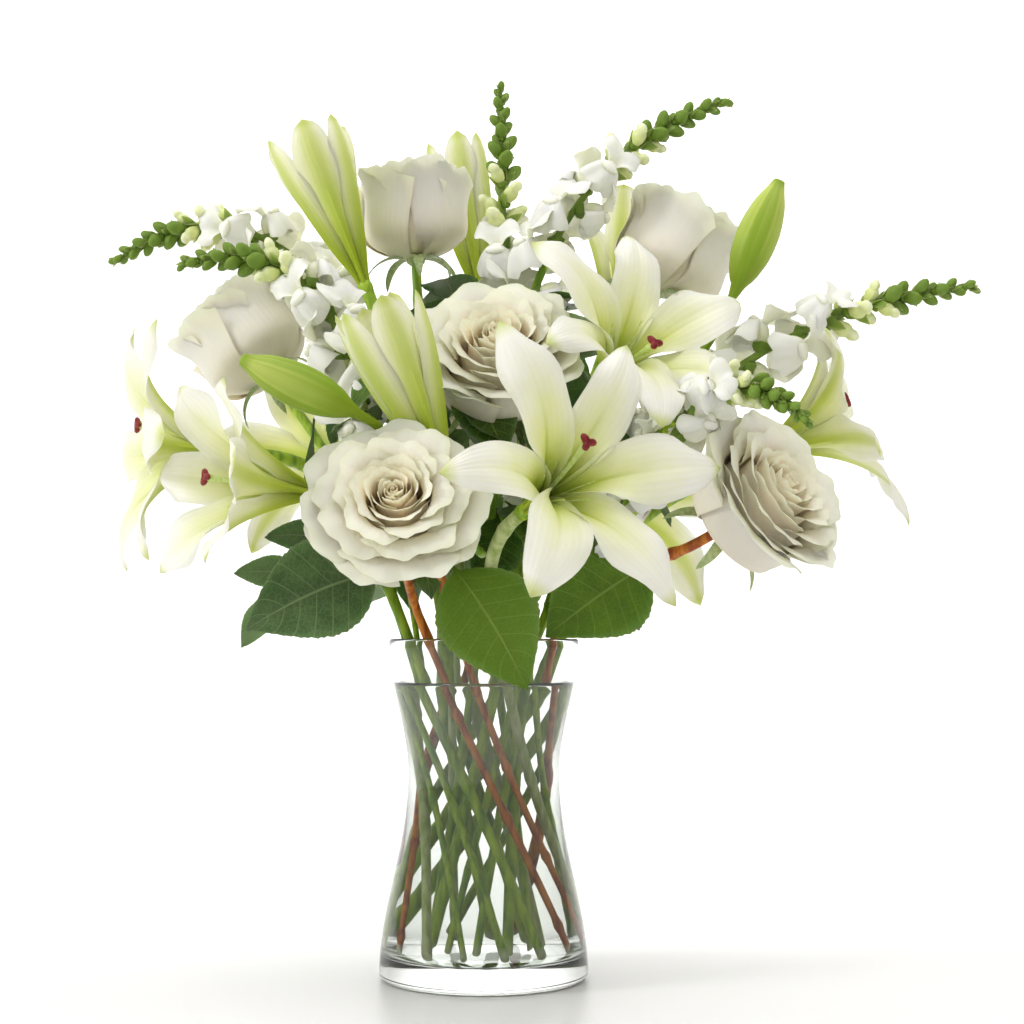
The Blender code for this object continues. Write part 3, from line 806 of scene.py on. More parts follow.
# ---- Pieces --------------------------------------------------------------------------------------
def piece(name: str, shell: Shell, finish: Finish, stands_for: Sequence[str] = ()) -> bpy.types.Object:
    """Puts a shell into the scene as a finished piece.

    Args:
        name: Name of the piece.
        shell: Its surface.
        finish: Its finish.
        stands_for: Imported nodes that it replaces.

    Returns:
        The piece, at the origin.
    """
    mesh = bpy.data.meshes.new(name)
    counts = (len(shell.quads), len(shell.tris))
    corners = np.concatenate([shell.quads.ravel(), shell.tris.ravel()]).astype(np.int32)
    starts = np.concatenate([np.arange(counts[0]) * 4, counts[0] * 4 + np.arange(counts[1]) * 3])
    mesh.vertices.add(len(shell.points))
    mesh.vertices.foreach_set("co", shell.points.astype(np.float32).ravel())
    mesh.loops.add(len(corners))
    mesh.loops.foreach_set("vertex_index", corners)
    mesh.polygons.add(sum(counts))
    mesh.polygons.foreach_set("loop_start", starts.astype(np.int32))
    mesh.polygons.foreach_set("use_smooth", np.ones(sum(counts), bool))
    for key in CARRIED:
        carried = mesh.attributes.new(key, "FLOAT", "POINT")
        carried.data.foreach_set("value", getattr(shell, key).astype(np.float32))
    mesh.update(calc_edges=True)
    mesh.validate()
    mesh.set_sharp_from_angle(angle=SHARP_FROM)
    mesh.materials.append(finish.material())
    made = bpy.data.objects.new(name, mesh)
    bpy.context.scene.collection.objects.link(made)
    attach(made, "root")
    if stands_for:
        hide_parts(*stands_for)
    LOG.info("%s: %d faces, %s", name, sum(counts), finish.name)
    return made


# ---- Vase and water ------------------------------------------------------------------------------
@dataclass
class Vase:
    """Waisted clear glass vase with a thick base, and the water in it."""

    wall: float = 3.0 * MM
    base: float = 14.0 * MM
    edge: float = 4.5 * MM
    inner_corner: float = 6.0 * MM
    water_below_rim: float = 27.0 * MM
    meniscus: float = 1.6 * MM
    water_bite: float = 0.35 * MM
    sides: int = 144
    foot: float = field(init=False)
    waist: float = field(init=False)
    rim: float = field(init=False)
    height: float = field(init=False)
    waist_height: float = field(init=False)

    def __post_init__(self) -> None:
        """Reads the foot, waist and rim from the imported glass."""
        points = Packed.read("vase").points
        reach = np.hypot(points[:, 0], points[:, 1])
        levels = np.unique(np.round(points[:, 2], 4))
        outer = np.array([reach[np.abs(points[:, 2] - level) < 1e-4].max() for level in levels])
        between = (levels > 0.2 * levels[-1]) & (levels < 0.9 * levels[-1])
        narrow = np.flatnonzero(between)[outer[between].argmin()]
        self.height, self.foot, self.rim = levels[-1], outer[: len(outer) // 4].max(), outer[-2:].max()
        self.waist, self.waist_height = outer[narrow], levels[narrow]

    def radius(self, height: Array) -> Array:
        """Outer radius: a cosine flare from the waist down to the foot, and another up to the rim."""
        below = height < self.waist_height
        end = np.where(below, self.foot, self.rim)
        reach = np.where(below, self.waist_height, self.height - self.waist_height)
        share = np.abs(height - self.waist_height) / reach
        return self.waist + (end - self.waist) * (1 - np.cos(math.pi * np.clip(share, 0, 1))) / 2

    def corner(
        self, middle: Sequence[float], radius: float, first: float, last: float, count: int
    ) -> Array:
        """Arc of (radius, height) points about a middle, between two angles in quarter turns."""
        angle = np.linspace(first, last, count) * math.pi / 2
        return np.stack([middle[0] + radius * np.cos(angle), middle[1] + radius * np.sin(angle)], axis=1)

    def floor_edge(self) -> float:
        """Radius at which the inner floor starts to curve up."""
        return self.radius(np.array([self.base]))[0] - self.wall - self.inner_corner

    def glass(self) -> Shell:
        """Turned wall: underside, rounded foot, outer flares, round rim, inner wall and rounded floor."""
        lip = self.wall / 2
        climb = np.linspace(self.edge, self.height - lip, 60)
        drop = np.linspace(self.height - lip, self.base + self.inner_corner, 56)
        floor_edge = self.floor_edge()
        profile = np.concatenate([
            [[0.0, 0.0], [0.2 * self.foot, 0.0], [self.foot - self.edge - 1 * MM, 0.0]],
            self.corner((self.foot - self.edge, self.edge), self.edge, -1.0, 0.0, 8)[:-1],
            np.stack([self.radius(climb), climb], axis=1),
            self.corner((self.rim - lip, self.height - lip), lip, 0.2, 1.8, 7),
            np.stack([self.radius(drop) - self.wall, drop], axis=1),
            self.corner((floor_edge, self.base + self.inner_corner), self.inner_corner, 0.0, -1.0, 8)[1:],
            [[0.5 * floor_edge, self.base + 0.4 * MM], [0.1 * floor_edge, self.base + 0.6 * MM]],
            [[0.0, self.base + 0.6 * MM]],
        ])
        return turned(profile, self.sides)

    def water(self) -> Shell:
        """Turned body that fills the glass up to its level and climbs a little at the wall."""
        top = self.height - self.water_below_rim
        climb = np.linspace(self.base + self.inner_corner, top + self.meniscus, 50)
        floor_edge = self.floor_edge()
        reach = self.radius(climb) - self.wall + self.water_bite
        shore = np.linspace(0.0, 1.0, 7)[1:, None]
        low, bend = self.base - self.water_bite, self.inner_corner + self.water_bite
        profile = np.concatenate([
            [[0.0, low + 0.6 * MM], [0.5 * floor_edge, low + 0.4 * MM]],
            self.corner((floor_edge, self.base + self.inner_corner), bend, -1.0, 0.0, 8)[:-1],
            np.stack([reach, climb], axis=1),
            np.hstack([reach[-1] - 5 * MM * shore, top + self.meniscus * (1 - shore) ** 3]),
            [[0.5 * reach[-1], top], [0.0, top]],
        ])
        return turned(profile, self.sides)

    def build(self) -> None:
        """Makes the glass and the water."""
        piece("glass_vase", self.glass(), Finishes.glass, ["vase"])
        piece("vase_water", self.water(), Finishes.water)


# ---- Stems ---------------------------------------------------------------------------------------
def is_rod(node: str) -> bool:
    """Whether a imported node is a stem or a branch."""
    return node.endswith("_stem") or "branch" in node


@dataclass
class Stem:
    """A stem along the middle of its packed rod, with swollen joints and a slanting cut at its foot.

    Its radius is the rod's times slim up to slim_below, and times thick from thick_above on.
    """

    node: str
    finish: Finish
    joints: int = 5
    swell: float = 0.16
    lobes: float = 0.03
    slim: float = 0.66
    slim_below: float = 190 * MM
    thick: float = 0.93
    thick_above: float = 250 * MM
    slant: float = 0.9
    cut_tone: float = 0.75
    sides: int = 12
    rows: int = 60

    def path(self) -> tuple[Array, Array]:
        """Points and radii from the foot to the bloom."""
        solid = Packed.read(self.node)
        middles, radii = solid.centreline(solid.points[solid.points[:, 2].argmin()], ROD_SIDES)
        keep = np.concatenate([[True], np.linalg.norm(np.diff(middles, axis=0), axis=1) > 1 * MM])
        middles, radii = middles[keep], radii[keep]
        share = np.linspace(0, 1, self.rows)
        return through(middles, self.rows), np.interp(share, np.linspace(0, 1, len(radii)), radii)

    def build(self) -> None:
        """Makes the stem."""
        points, radii = self.path()
        share = np.linspace(0, 1, self.rows)
        start = seeded(self.node).uniform(0, 1)
        bead = np.cos((share * self.joints + start) * 2 * math.pi)
        risen = smooth(points[:, 2], self.slim_below, self.thick_above)
        radii = radii * (self.slim + (self.thick - self.slim) * risen + self.swell * smooth(bead, 0.90, 1.0))
        shell = tube(points, radii, self.sides, self.lobes, cut=self.slant)
        shell.tone = np.where(shell.along < 0.5 / self.rows, self.cut_tone, 0.0)
        shell.tone[-1] = 0.0
        piece(self.node.replace("_stem", "_stalk"), shell, self.finish, [self.node])


# ---- Lilies --------------------------------------------------------------------------------------
def bloom_seat(node: str, stem: str) -> Seat:
    """Seat of a bloom: the end of its stem nearest to it, with its axis through the bloom's middle.

    Args:
        node: The bloom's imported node.
        stem: The stem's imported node.

    Returns:
        The seat, rolled so that its side is level.
    """
    bloom, rod = Packed.read(node), Packed.read(stem)
    middle = bloom.points.mean(axis=0)
    middles, _ = rod.centreline(rod.nearest(middle), ROD_SIDES)
    return Seat.facing(middles[0], middle - middles[0])


@dataclass
class Lily:
    """A lily: three broad tepals inside three narrow ones, with a pistil where it is open."""

    node: str
    openness: float = 1.0
    turn: float = 0.0
    length: float = 118 * MM
    width: float = 49 * MM
    sepal_share: float = 0.78
    base_sector: float = 0.66
    base_radius: float = 3.4 * MM
    fullness: float = 0.66
    ruffle: float = 3.4 * MM
    thickness: float = 1.3 * MM
    pistil_reach: float = 0.57
    filaments: int = 6
    pistil_from: float = 0.4
    finish: Finish = Finishes.lily
    rows: int = 26
    columns: int = 11
    closed_spine: tuple = ((0.0, 0.0), (0.11, 0.20), (0.18, 0.66), (0.08, 0.97))
    flared_spine: tuple = ((0.0, 0.0), (0.05, 0.45), (0.42, 0.76), (0.73, 0.56))

    def tepal(self, number: int, draws: np.random.Generator) -> Shell:
        """One tepal.

        Its midrib is a Bezier curve in the plane of the bloom's axis, and it spreads round the axis by an
        angle of sector x tanh(half width / (radius x sector)). It is then lifted off that turned surface by a
        midrib groove, by edges that roll forward at the throat and back near the tip, and by a ruffle.

        Args:
            number: Which of the six; even ones are the broad inner ones.
            draws: Random draws.

        Returns:
            The tepal in the bloom's own frame.
        """
        inner = number % 2 == 0
        opening = self.openness * draws.uniform(0.94, 1.03)
        opening += draws.uniform(0.0, 0.10) * (1 - self.openness)
        spine = np.array(self.closed_spine) * (1 - opening) + np.array(self.flared_spine) * opening
        along = np.linspace(0, 1, self.rows)
        curve = bezier(spine * self.length * (1.0 if inner else 0.98), along)
        slope = unit(np.gradient(curve, axis=0))
        width = self.width * (1.0 if inner else self.sepal_share) / 2
        half = width * np.maximum(np.sin(math.pi * along**0.90), 0.0) ** self.fullness + 0.4 * MM
        radius = np.hypot(curve[:, 0], self.base_radius * (1 - smooth(along, 0.0, 0.5)))
        across = np.linspace(-1, 1, self.columns)
        spread = self.base_sector * np.tanh(half / (radius * self.base_sector))
        middle = number * math.pi / 3 + math.radians(self.turn) + draws.uniform(-0.05, 0.05)
        angle = middle + spread[:, None] * across + 0.10 * draws.uniform(-1, 1) * along[:, None] ** 2
        roll = -0.30 + 0.62 * smooth(along, 0.25, 0.9) * (0.3 + 0.7 * self.openness)
        phase, waves = draws.uniform(0, 2 * math.pi), draws.uniform(1.8, 2.6)
        wave = np.sin(2 * math.pi * waves * along[:, None] + phase + np.sign(across) * 0.9)
        rim = np.abs(across) ** 2.2
        ruffled = smooth(along, 0.15, 0.5) * (1 - smooth(along, 0.85, 1.0))
        beside = np.abs(across) - 0.34
        lift = (
            -roll[:, None] * half[:, None] * across**2
            + self.ruffle * ruffled[:, None] * rim * wave
            - 1.1 * MM * np.exp(-((across / 0.16) ** 2)) * (np.sin(math.pi * along) ** 0.7)[:, None]
            + 0.7 * MM * np.exp(-((beside / 0.16) ** 2)) * (np.sin(math.pi * along))[:, None]
            - (0.0 if inner else 1.6 * MM) * smooth(along, 0.02, 0.3)[:, None]
        )
        tilt = -slope[:, 1]
        reach = radius[:, None] + tilt[:, None] * lift
        points = np.stack(
            [reach * np.cos(angle), reach * np.sin(angle), curve[:, 1:2] + slope[:, :1] * lift], axis=-1
        )
        wall = self.thickness * (1 - 0.78 * across**2) * (1 - 0.35 * along[:, None])
        return blade(points, wall)

    def pistil(self, draws: np.random.Generator) -> tuple[Shell, Shell]:
        """Style with six short filaments, and the three-lobed stigma.

        Returns:
            The green parts, and the stigma.
        """
        away = spoke(draws.uniform(0, 2 * math.pi))
        share = np.linspace(0, 1, 14)
        reach = self.pistil_reach * self.length
        style = UP * reach * share[:, None] + away * 0.12 * self.length * share[:, None] ** 2
        radii = 1.3 * MM + 0.9 * MM * smooth(share, 0.35, 0.0) + 0.9 * MM * smooth(share, 0.85, 1.0)
        rods = [tube(style, radii, 10, 0.10)]
        for k in range(self.filaments):
            outward = spoke(k * math.pi / 3 + draws.uniform(-0.2, 0.2))
            long = self.length * draws.uniform(0.40, 0.50)
            path = UP * long * share[:, None] + outward * (2 * MM + 0.24 * long * share[:, None] ** 1.6)
            rods.append(tube(path, np.linspace(1.0, 0.35, 14) * MM, 6))
        end = style[-1]
        angle = np.linspace(0, 2 * math.pi, 24, endpoint=False)
        lobes = 1 + 0.42 * np.cos(3 * angle)
        levels = np.array([(1.6, -0.8), (3.3, 0.2), (3.9, 1.5), (3.3, 2.7), (1.7, 3.1)]) * MM
        rings = stacked_rings(levels, angle, lobes)
        stigma = closed_grid(end + rings, end - UP * 1.4 * MM, end + UP * 2.2 * MM)
        return merged(rods), stigma

    def receptacle(self) -> Shell:
        """Green knob that joins the stem's end to the foot of the tepals."""
        path = UP * np.linspace(-9 * MM, 6 * MM, 12)[:, None]
        radii = np.array([2.6, 2.8, 3.1, 3.5, 3.9, 4.3, 4.5, 4.6, 4.5, 4.0, 3.2, 2.0]) * MM
        return tube(path, radii, 18, 0.06)

    def build(self) -> None:
        """Makes the tepals and, in an open lily, the pistil and stigma."""
        seat = bloom_seat(self.node, self.node + "_stem").along(0.5 * MM)
        draws = seeded(self.node)
        tepals = merged([self.tepal(k, draws) for k in range(6)])
        piece(self.node + "_receptacle", self.receptacle().moved(seat), Finishes.stem)
        piece(self.node + "_tepals", tepals.moved(seat), self.finish, [self.node])
        if self.openness > self.pistil_from:
            green, red = self.pistil(draws)
            piece(self.node + "_pistil", green.moved(seat), Finishes.pistil)
            piece(self.node + "_stigma", red.moved(seat), Finishes.stigma)


@dataclass
class LilyBud:
    """A closed lily bud and its stalk, in one rod that swells to three ribbed faces."""

    node: str
    sides: int = 36
    rows: int = 64
    swell_rings: int = 6

    def build(self) -> None:
        """Makes the bud."""
        solid = Packed.read(self.node)
        tip = solid.points[np.linalg.norm(solid.points - solid.points.mean(0), axis=1).argmax()]
        low = solid.points[solid.points[:, 2].argmin()]
        middles, radii = solid.centreline(low if np.linalg.norm(low - tip) > 1e-3 else tip, BUD_SIDES)
        steps = lengths(middles)
        share = np.linspace(0, 1, self.rows)
        path = through(middles, self.rows)
        reach = np.interp(share, steps / steps[-1], radii)
        reach = np.convolve(np.pad(reach, 2, mode="edge"), np.ones(5) / 5, mode="valid")
        shell = tube(path, reach, self.sides, 0.0)
        start = steps[-self.swell_rings] / steps[-1] - 0.02
        angle = shell.across * 2 * math.pi
        swollen = smooth(shell.along, start, start + 0.2) * (1 - smooth(shell.along, 0.97, 1.0))
        middle = np.vstack([np.repeat(path, self.sides, axis=0), path[:1], path[-1:]])
        furrow = np.exp(-((np.sin(1.5 * angle) / 0.20) ** 2))
        faces = 0.05 * np.abs(np.cos(1.5 * angle)) - 0.10 * furrow + 0.014 * np.cos(12 * angle)
        ribs = 1 + swollen * faces
        shell.points = middle + (shell.points - middle) * ribs[:, None]
        shell.along = np.clip((shell.along - start) / (1 - start), 0, 1)
        stripe = 0.45 * smooth(np.cos(12 * angle), 0.2, 1.0)
        shell.across = 0.5 + 0.5 * np.clip(1 - np.abs(np.cos(1.5 * angle)) + stripe, 0, 1)
        shell.side[:] = 0.0
        piece(self.node + "_ribbed", shell, Finishes.bud, [self.node])


# ---- Roses ---------------------------------------------------------------------------------------
@dataclass(frozen=True)
class PetalRing:
    """A ring of alike rose petals.

    count of them stand at a bulge radius and reach a top, as shares of the bloom's radius and height, and
    spread a sector in radians to each side. Their rims roll back by roll degrees from roll_from of the way
    along, and what lies past the bulge is spread out by spread. sink drops the side edges, tuck sets one edge
    outside the next petal, wave is the rim's ruffle in millimetres, and tone is 1 in the heart.
    """

    count: int
    bulge: float
    top: float
    sector: float
    roll: float
    roll_from: float
    spread: float
    sink: float
    tuck: float
    wave: float
    tone: float

    @property
    def offset(self) -> float:
        """Turn of the ring's first petal, so that the rings don't line up."""
        return 7.3 * self.bulge


@dataclass
class Rose:
    """A rose: rings of evenly spaced petals, each ring turned against the next, tight in the heart and flaring
    outside, over five sepals.
    """

    node: str
    size: float = 1.0
    flare: float = 0.6
    radius: float = 41 * MM
    height: float = 56 * MM
    rows: int = 22
    columns: int = 27
    thickness: float = 0.9 * MM
    overlap: float = 2.4 * MM
    sepals: int = 5
    rings: tuple = (
        PetalRing(3, 0.12, 0.965, 1.75, 24, 0.80, 1.00, 0.05, 0.22, 0.5, 0.95),
        PetalRing(3, 0.21, 0.975, 1.60, 34, 0.78, 1.00, 0.06, 0.20, 0.6, 0.85),
        PetalRing(3, 0.31, 0.975, 1.45, 50, 0.76, 1.00, 0.08, 0.18, 0.8, 0.70),
        PetalRing(4, 0.43, 0.955, 1.20, 70, 0.74, 1.00, 0.10, 0.12, 1.0, 0.52),
        PetalRing(5, 0.57, 0.900, 1.00, 95, 0.72, 1.05, 0.12, 0.08, 1.3, 0.38),
        PetalRing(5, 0.69, 0.800, 0.92, 105, 0.66, 1.00, 0.14, 0.06, 1.5, 0.22),
        PetalRing(5, 0.80, 0.680, 0.90, 96, 0.56, 0.80, 0.14, 0.05, 1.9, 0.10),
        PetalRing(4, 0.89, 0.590, 0.92, 100, 0.55, 0.55, 0.12, 0.04, 2.2, 0.0),
    )

    def petal(self, ring: "PetalRing", number: int, draws: np.random.Generator) -> Shell:
        """One petal.

        Its middle line starts outwards, turns up by the way along, and then rolls back out at its rim: each
        step follows the heading 20 degrees + 74 x smooth(0 to 0.5) - roll x smooth(roll start to 1), and the
        roll is weaker in a rose of little flare. The line is scaled to its ring's bulge and top. The petal
        spreads round the axis on one side further out than on the other, so that each tucks under the next.
        Its rim sinks towards its side edges, with a few shallow dents, a wave and a fine frill.

        Args:
            ring: Ring of petals that it belongs to.
            number: Its place in the ring.
            draws: Random draws.

        Returns:
            The petal in the bloom's own frame.
        """
        full, tall = self.radius * self.size, self.height * self.size
        fine = np.linspace(0, 1, 60)
        roll = math.radians(ring.roll * draws.uniform(0.75, 1.15)) * (0.22 + 0.78 * self.flare)
        heading = math.radians(20) + math.radians(74) * smooth(fine, 0.0, 0.5)
        heading = heading - roll * smooth(fine, ring.roll_from, 1.0)
        reach_line = np.concatenate([[0.0], np.cumsum(np.cos(heading))])[:-1]
        height_line = np.concatenate([[0.0], np.cumsum(np.sin(heading))])[:-1]
        reach_line = 0.02 * full + reach_line * ring.bulge * full / reach_line[36]
        cup = 0.86 + 0.10 * ring.bulge
        top = (ring.top * self.flare + cup * (1 - self.flare)) * tall * draws.uniform(0.965, 1.02)
        height_line = height_line * top / height_line.max()
        excess = np.maximum(reach_line - ring.bulge * full, 0.0)
        reach_line = np.minimum(reach_line, ring.bulge * full) + excess * ring.spread
        along, across = parameters(self.rows, self.columns)
        share = along * (1 - ring.sink * np.abs(across) ** 2.6)
        dent = np.cos(2.6 * math.pi * across + draws.uniform(-1.5, 1.5)) + 0.5 * np.cos(
            6.1 * math.pi * across + draws.uniform(-2, 2)
        )
        share = share * (1 - 0.016 * (1.5 + dent))
        reach = np.interp(share, fine, reach_line)
        height = np.interp(share, fine, height_line)
        turn = (number + ring.offset) * 2 * math.pi / ring.count + draws.uniform(-0.16, 0.16)
        angle = turn + ring.sector * across * (0.70 + 0.30 * along)
        wave = np.sin(across * draws.uniform(3.5, 5.5) + draws.uniform(0, 6)) * along**5 * ring.wave * MM
        reach = reach * (1 + ring.tuck * across) + wave
        reach = reach + full * 0.10 * ring.bulge * np.abs(across) ** 4 * along**3
        frill = np.sin(across * draws.uniform(11, 17) + draws.uniform(0, 6))
        frill = frill * along**8 * ring.wave * 0.35 * MM
        height = height + wave * 0.8 + frill - 2.2 * MM * ring.bulge * np.abs(across) ** 4 * along**3
        height = height - self.overlap * across * along**2 * smooth(ring.bulge, 0.3, 0.6)
        points = np.stack([reach * np.cos(angle), reach * np.sin(angle), height], axis=-1)
        wall = self.thickness * (1 - 0.75 * along**2) * (1 - 0.5 * across**4)
        return blade(points, wall).toned(ring.tone)

    def heart(self) -> Shell:
        """Innermost petal: a sheet that winds twice round the axis, its radius growing with its angle."""
        along = np.linspace(0, 1, 10)[:, None]
        wind = np.linspace(0.0, 1.0, 44)[None, :]
        full, tall = self.radius * self.size, self.height * self.size
        reach = full * (0.018 + 0.105 * wind) * (1.25 - 0.40 * along**2)
        angle = wind * 3.9 * math.pi
        height = tall * (0.35 + (0.59 - 0.03 * wind) * along) - 0.7 * MM * np.sin(angle * 0.5) * along
        points = np.stack([reach * np.cos(angle), reach * np.sin(angle), height + 0 * angle], axis=-1)
        return blade(points, np.full((10, 44), 0.6 * MM)).toned(1.0)

    def calyx(self, draws: np.random.Generator) -> Shell:
        """Swollen green hip and five long pointed sepals that turn back."""
        angle = np.linspace(0, 2 * math.pi, 16, endpoint=False)
        levels = np.array([(3.6, 0.4), (5.6, 2.0), (6.2, 5.0), (6.6, 8.0), (4.0, 9.5)]) * MM * self.size
        rings = stacked_rings(levels, angle)
        parts = [closed_grid(rings, UP * 0.2 * MM, UP * 9.0 * MM * self.size)]
        along, across = parameters(12, 5)
        for k in range(self.sepals):
            droop = draws.uniform(0.55, 1.15)
            long = 31 * MM * self.size * draws.uniform(0.85, 1.1)
            bend = along * droop * 1.9 - 0.25
            run = np.cumsum(np.cos(bend) * long / 11, axis=0)
            rise = np.cumsum(-np.sin(bend) * long / 11, axis=0)
            half = 4.2 * MM * self.size * (1 - along) ** 0.7 * (0.75 + 0.9 * along) + 0.25 * MM
            reach = 5.0 * MM + run + 0 * across
            turn = k * 2 * math.pi / self.sepals + draws.uniform(-0.2, 0.2)
            side = half * across
            points = np.stack([
                reach * math.cos(turn) - side * math.sin(turn),
                reach * math.sin(turn) + side * math.cos(turn),
                4.0 * MM + rise + 0.25 * np.abs(side),
            ], axis=-1)
            parts.append(blade(points, np.full((12, 5), 0.7 * MM)))
        return merged(parts)

    def build(self) -> None:
        """Makes the petals and the calyx."""
        seat = bloom_seat(self.node, self.node + "_stem")
        draws = seeded(self.node)
        ringed = [self.petal(ring, k, draws) for ring in self.rings for k in range(ring.count)]
        petals = merged([self.heart()] + ringed)
        lifted = seat.along(4 * MM)
        piece(self.node + "_petals", petals.moved(lifted), Finishes.rose, [self.node])
        piece(self.node + "_calyx", self.calyx(draws).moved(seat), Finishes.sepal)


# ---- Snapdragons ---------------------------------------------------------------------------------
@dataclass
class Floret:
    """One snapdragon floret: a cup with a lipped tube where open, or with leaflets where closing or a bud."""

    length: float
    opened: float
    draws: np.random.Generator
    notch: float = 0.68
    open_above: float = 0.3
    bud_below: float = 0.1

    def cup(self) -> Shell:
        """Green cup of five rounded lobes at the base."""
        angle = np.linspace(0, 2 * math.pi, 10, endpoint=False)
        lobes = 1 + 0.14 * np.cos(5 * angle)
        levels = np.array([(0.07, 0.0), (0.17, 0.05), (0.21, 0.16), (0.20, 0.26)])
        rings = stacked_rings(levels * (0.6 * self.length + 4.5 * MM), angle, lobes)
        return closed_grid(rings, -UP * 0.01 * self.length, UP * 0.2 * self.length).toned(0.95)

    def body(self) -> Shell:
        """Tube of the floret, or the whole of a bud, five-sided and fullest past its middle."""
        angle = np.linspace(0, 2 * math.pi, 12, endpoint=False)
        is_open, is_bud = self.opened > self.open_above, self.opened < self.bud_below
        share = np.linspace(0.05, 0.97, 8 if is_bud else 14)[:, None]
        long = self.length * (0.66 if is_open else 0.98)
        girth = self.length * (0.185 if is_open else 0.30 if is_bud else 0.25)
        facets = 1 + 0.07 * np.cos(5 * angle + 1.2 * share)
        radius = girth * np.sin(math.pi * share**1.25) ** 0.50 * facets
        if not is_open and not is_bud:
            fold = np.exp(-(((share - 0.70 - 0.06 * np.sin(angle)) / 0.07) ** 2))
            radius = radius * (1 - 0.30 * fold) * (1 + 0.12 * np.cos(2 * angle) * smooth(share, 0.6, 0.9))
        radius = radius * (0.62 + 0.38 * smooth(share, 0.0, 0.45))
        droop = -0.10 * self.length * share**2
        rings = np.stack([
            radius * np.cos(angle), radius * np.sin(angle) * 0.86 + droop, long * share + 0 * angle
        ], axis=-1)
        shell = closed_grid(rings, np.array([0.0, 0.0, 0.0]), np.array([0.0, -0.10 * self.length, long]))
        return shell.toned(0.98 if is_bud else 0.20 if is_open else 0.40)

    def lip(self, upper: bool) -> Shell:
        """One lip: a fan round the tube's mouth with round lobes, that flares, rolls back and ruffles.

        Its outline is notch + (1 - notch) x |sine or cosine of the lobes' angle|^0.5, its reach grows from
        the mouth by that outline, its rise climbs with the way out and falls with its square, and two waves
        ruffle it more and more towards the rim.

        Args:
            upper: Whether it is the two-lobed upper lip, and not the three-lobed lower one.

        Returns:
            The lip.
        """
        along, across = parameters(9, 23)
        phase = math.pi * across if upper else 1.5 * math.pi * across
        lobe = np.abs(np.sin(phase) if upper else np.cos(phase)) ** 0.5
        outline = (self.notch + (1 - self.notch) * lobe) * (1 - 0.5 * np.abs(across) ** 7)
        grown = self.length * (0.30 + 0.70 * self.opened) * (0.62 if upper else 0.54)
        reach = 0.09 * self.length + grown * (0.25 * along + 0.75 * along**1.3 * outline)
        heading = (math.pi / 2 if upper else -math.pi / 2) + across * 1.45
        slow = np.sin(across * self.draws.uniform(7, 10) + self.draws.uniform(0, 6)) * along**2
        quick = np.sin(across * self.draws.uniform(16, 21) + self.draws.uniform(0, 6)) * along**4
        rise, curl = (0.66, 0.42) if upper else (0.50, 0.86)
        height = self.length * (0.50 + rise * along - curl * along**2 + 0.055 * slow + 0.018 * quick)
        reach = reach * (1 + 0.05 * slow)
        points = np.stack([
            reach * np.cos(heading), reach * np.sin(heading) - 0.06 * self.length, height + 0 * across
        ], axis=-1)
        return blade(points, np.full((9, 23), 0.6 * MM)).toned(0.03)

    def palate(self) -> Shell:
        """Puffed ridge of the lower lip that closes the mouth: two humps side by side."""
        angle = np.linspace(0, 2 * math.pi, 12, endpoint=False)
        level = np.linspace(0.12, 0.88, 5)[:, None]
        round_off = np.sin(math.pi * level) ** 0.6
        humps = 0.16 + 0.05 * np.abs(np.cos(angle))
        rings = self.length * np.stack([
            humps * round_off * np.cos(angle),
            0.11 * round_off * np.sin(angle) - 0.20,
            0.50 + 0.20 * level + 0 * angle,
        ], axis=-1)
        low, high = np.array([0.0, -0.20, 0.51]) * self.length, np.array([0.0, -0.20, 0.69]) * self.length
        return closed_grid(rings, low, high).toned(0.12)

    def leaflets(self) -> Shell:
        """Two small pointed leaves that stand beside a bud or a closing floret."""
        along, across = parameters(5, 3)
        long = 0.45 * self.length + 3.5 * MM
        parts = []
        for turn in (0.9, 3.3):
            half = 0.26 * long * np.sin(math.pi * np.clip(along, 0.04, 0.98) ** 0.7) * across
            reach = 0.12 * self.length + long * (0.42 * along**1.5) + 0 * across
            points = np.stack([
                reach * math.cos(turn) - half * math.sin(turn),
                reach * math.sin(turn) + half * math.cos(turn),
                long * 0.85 * along + 0.12 * np.abs(half),
            ], axis=-1)
            parts.append(blade(points, np.full((5, 3), 0.5 * MM)))
        return merged(parts).toned(1.0)

    def shell(self) -> Shell:
        """The floret with its base at the origin, opening up the axis, its upper lip to the front."""
        parts = [self.cup(), self.body()]
        if self.opened > self.open_above:
            parts += [self.lip(True), self.lip(False), self.palate()]
        else:
            parts.append(self.leaflets())
        return merged(parts)


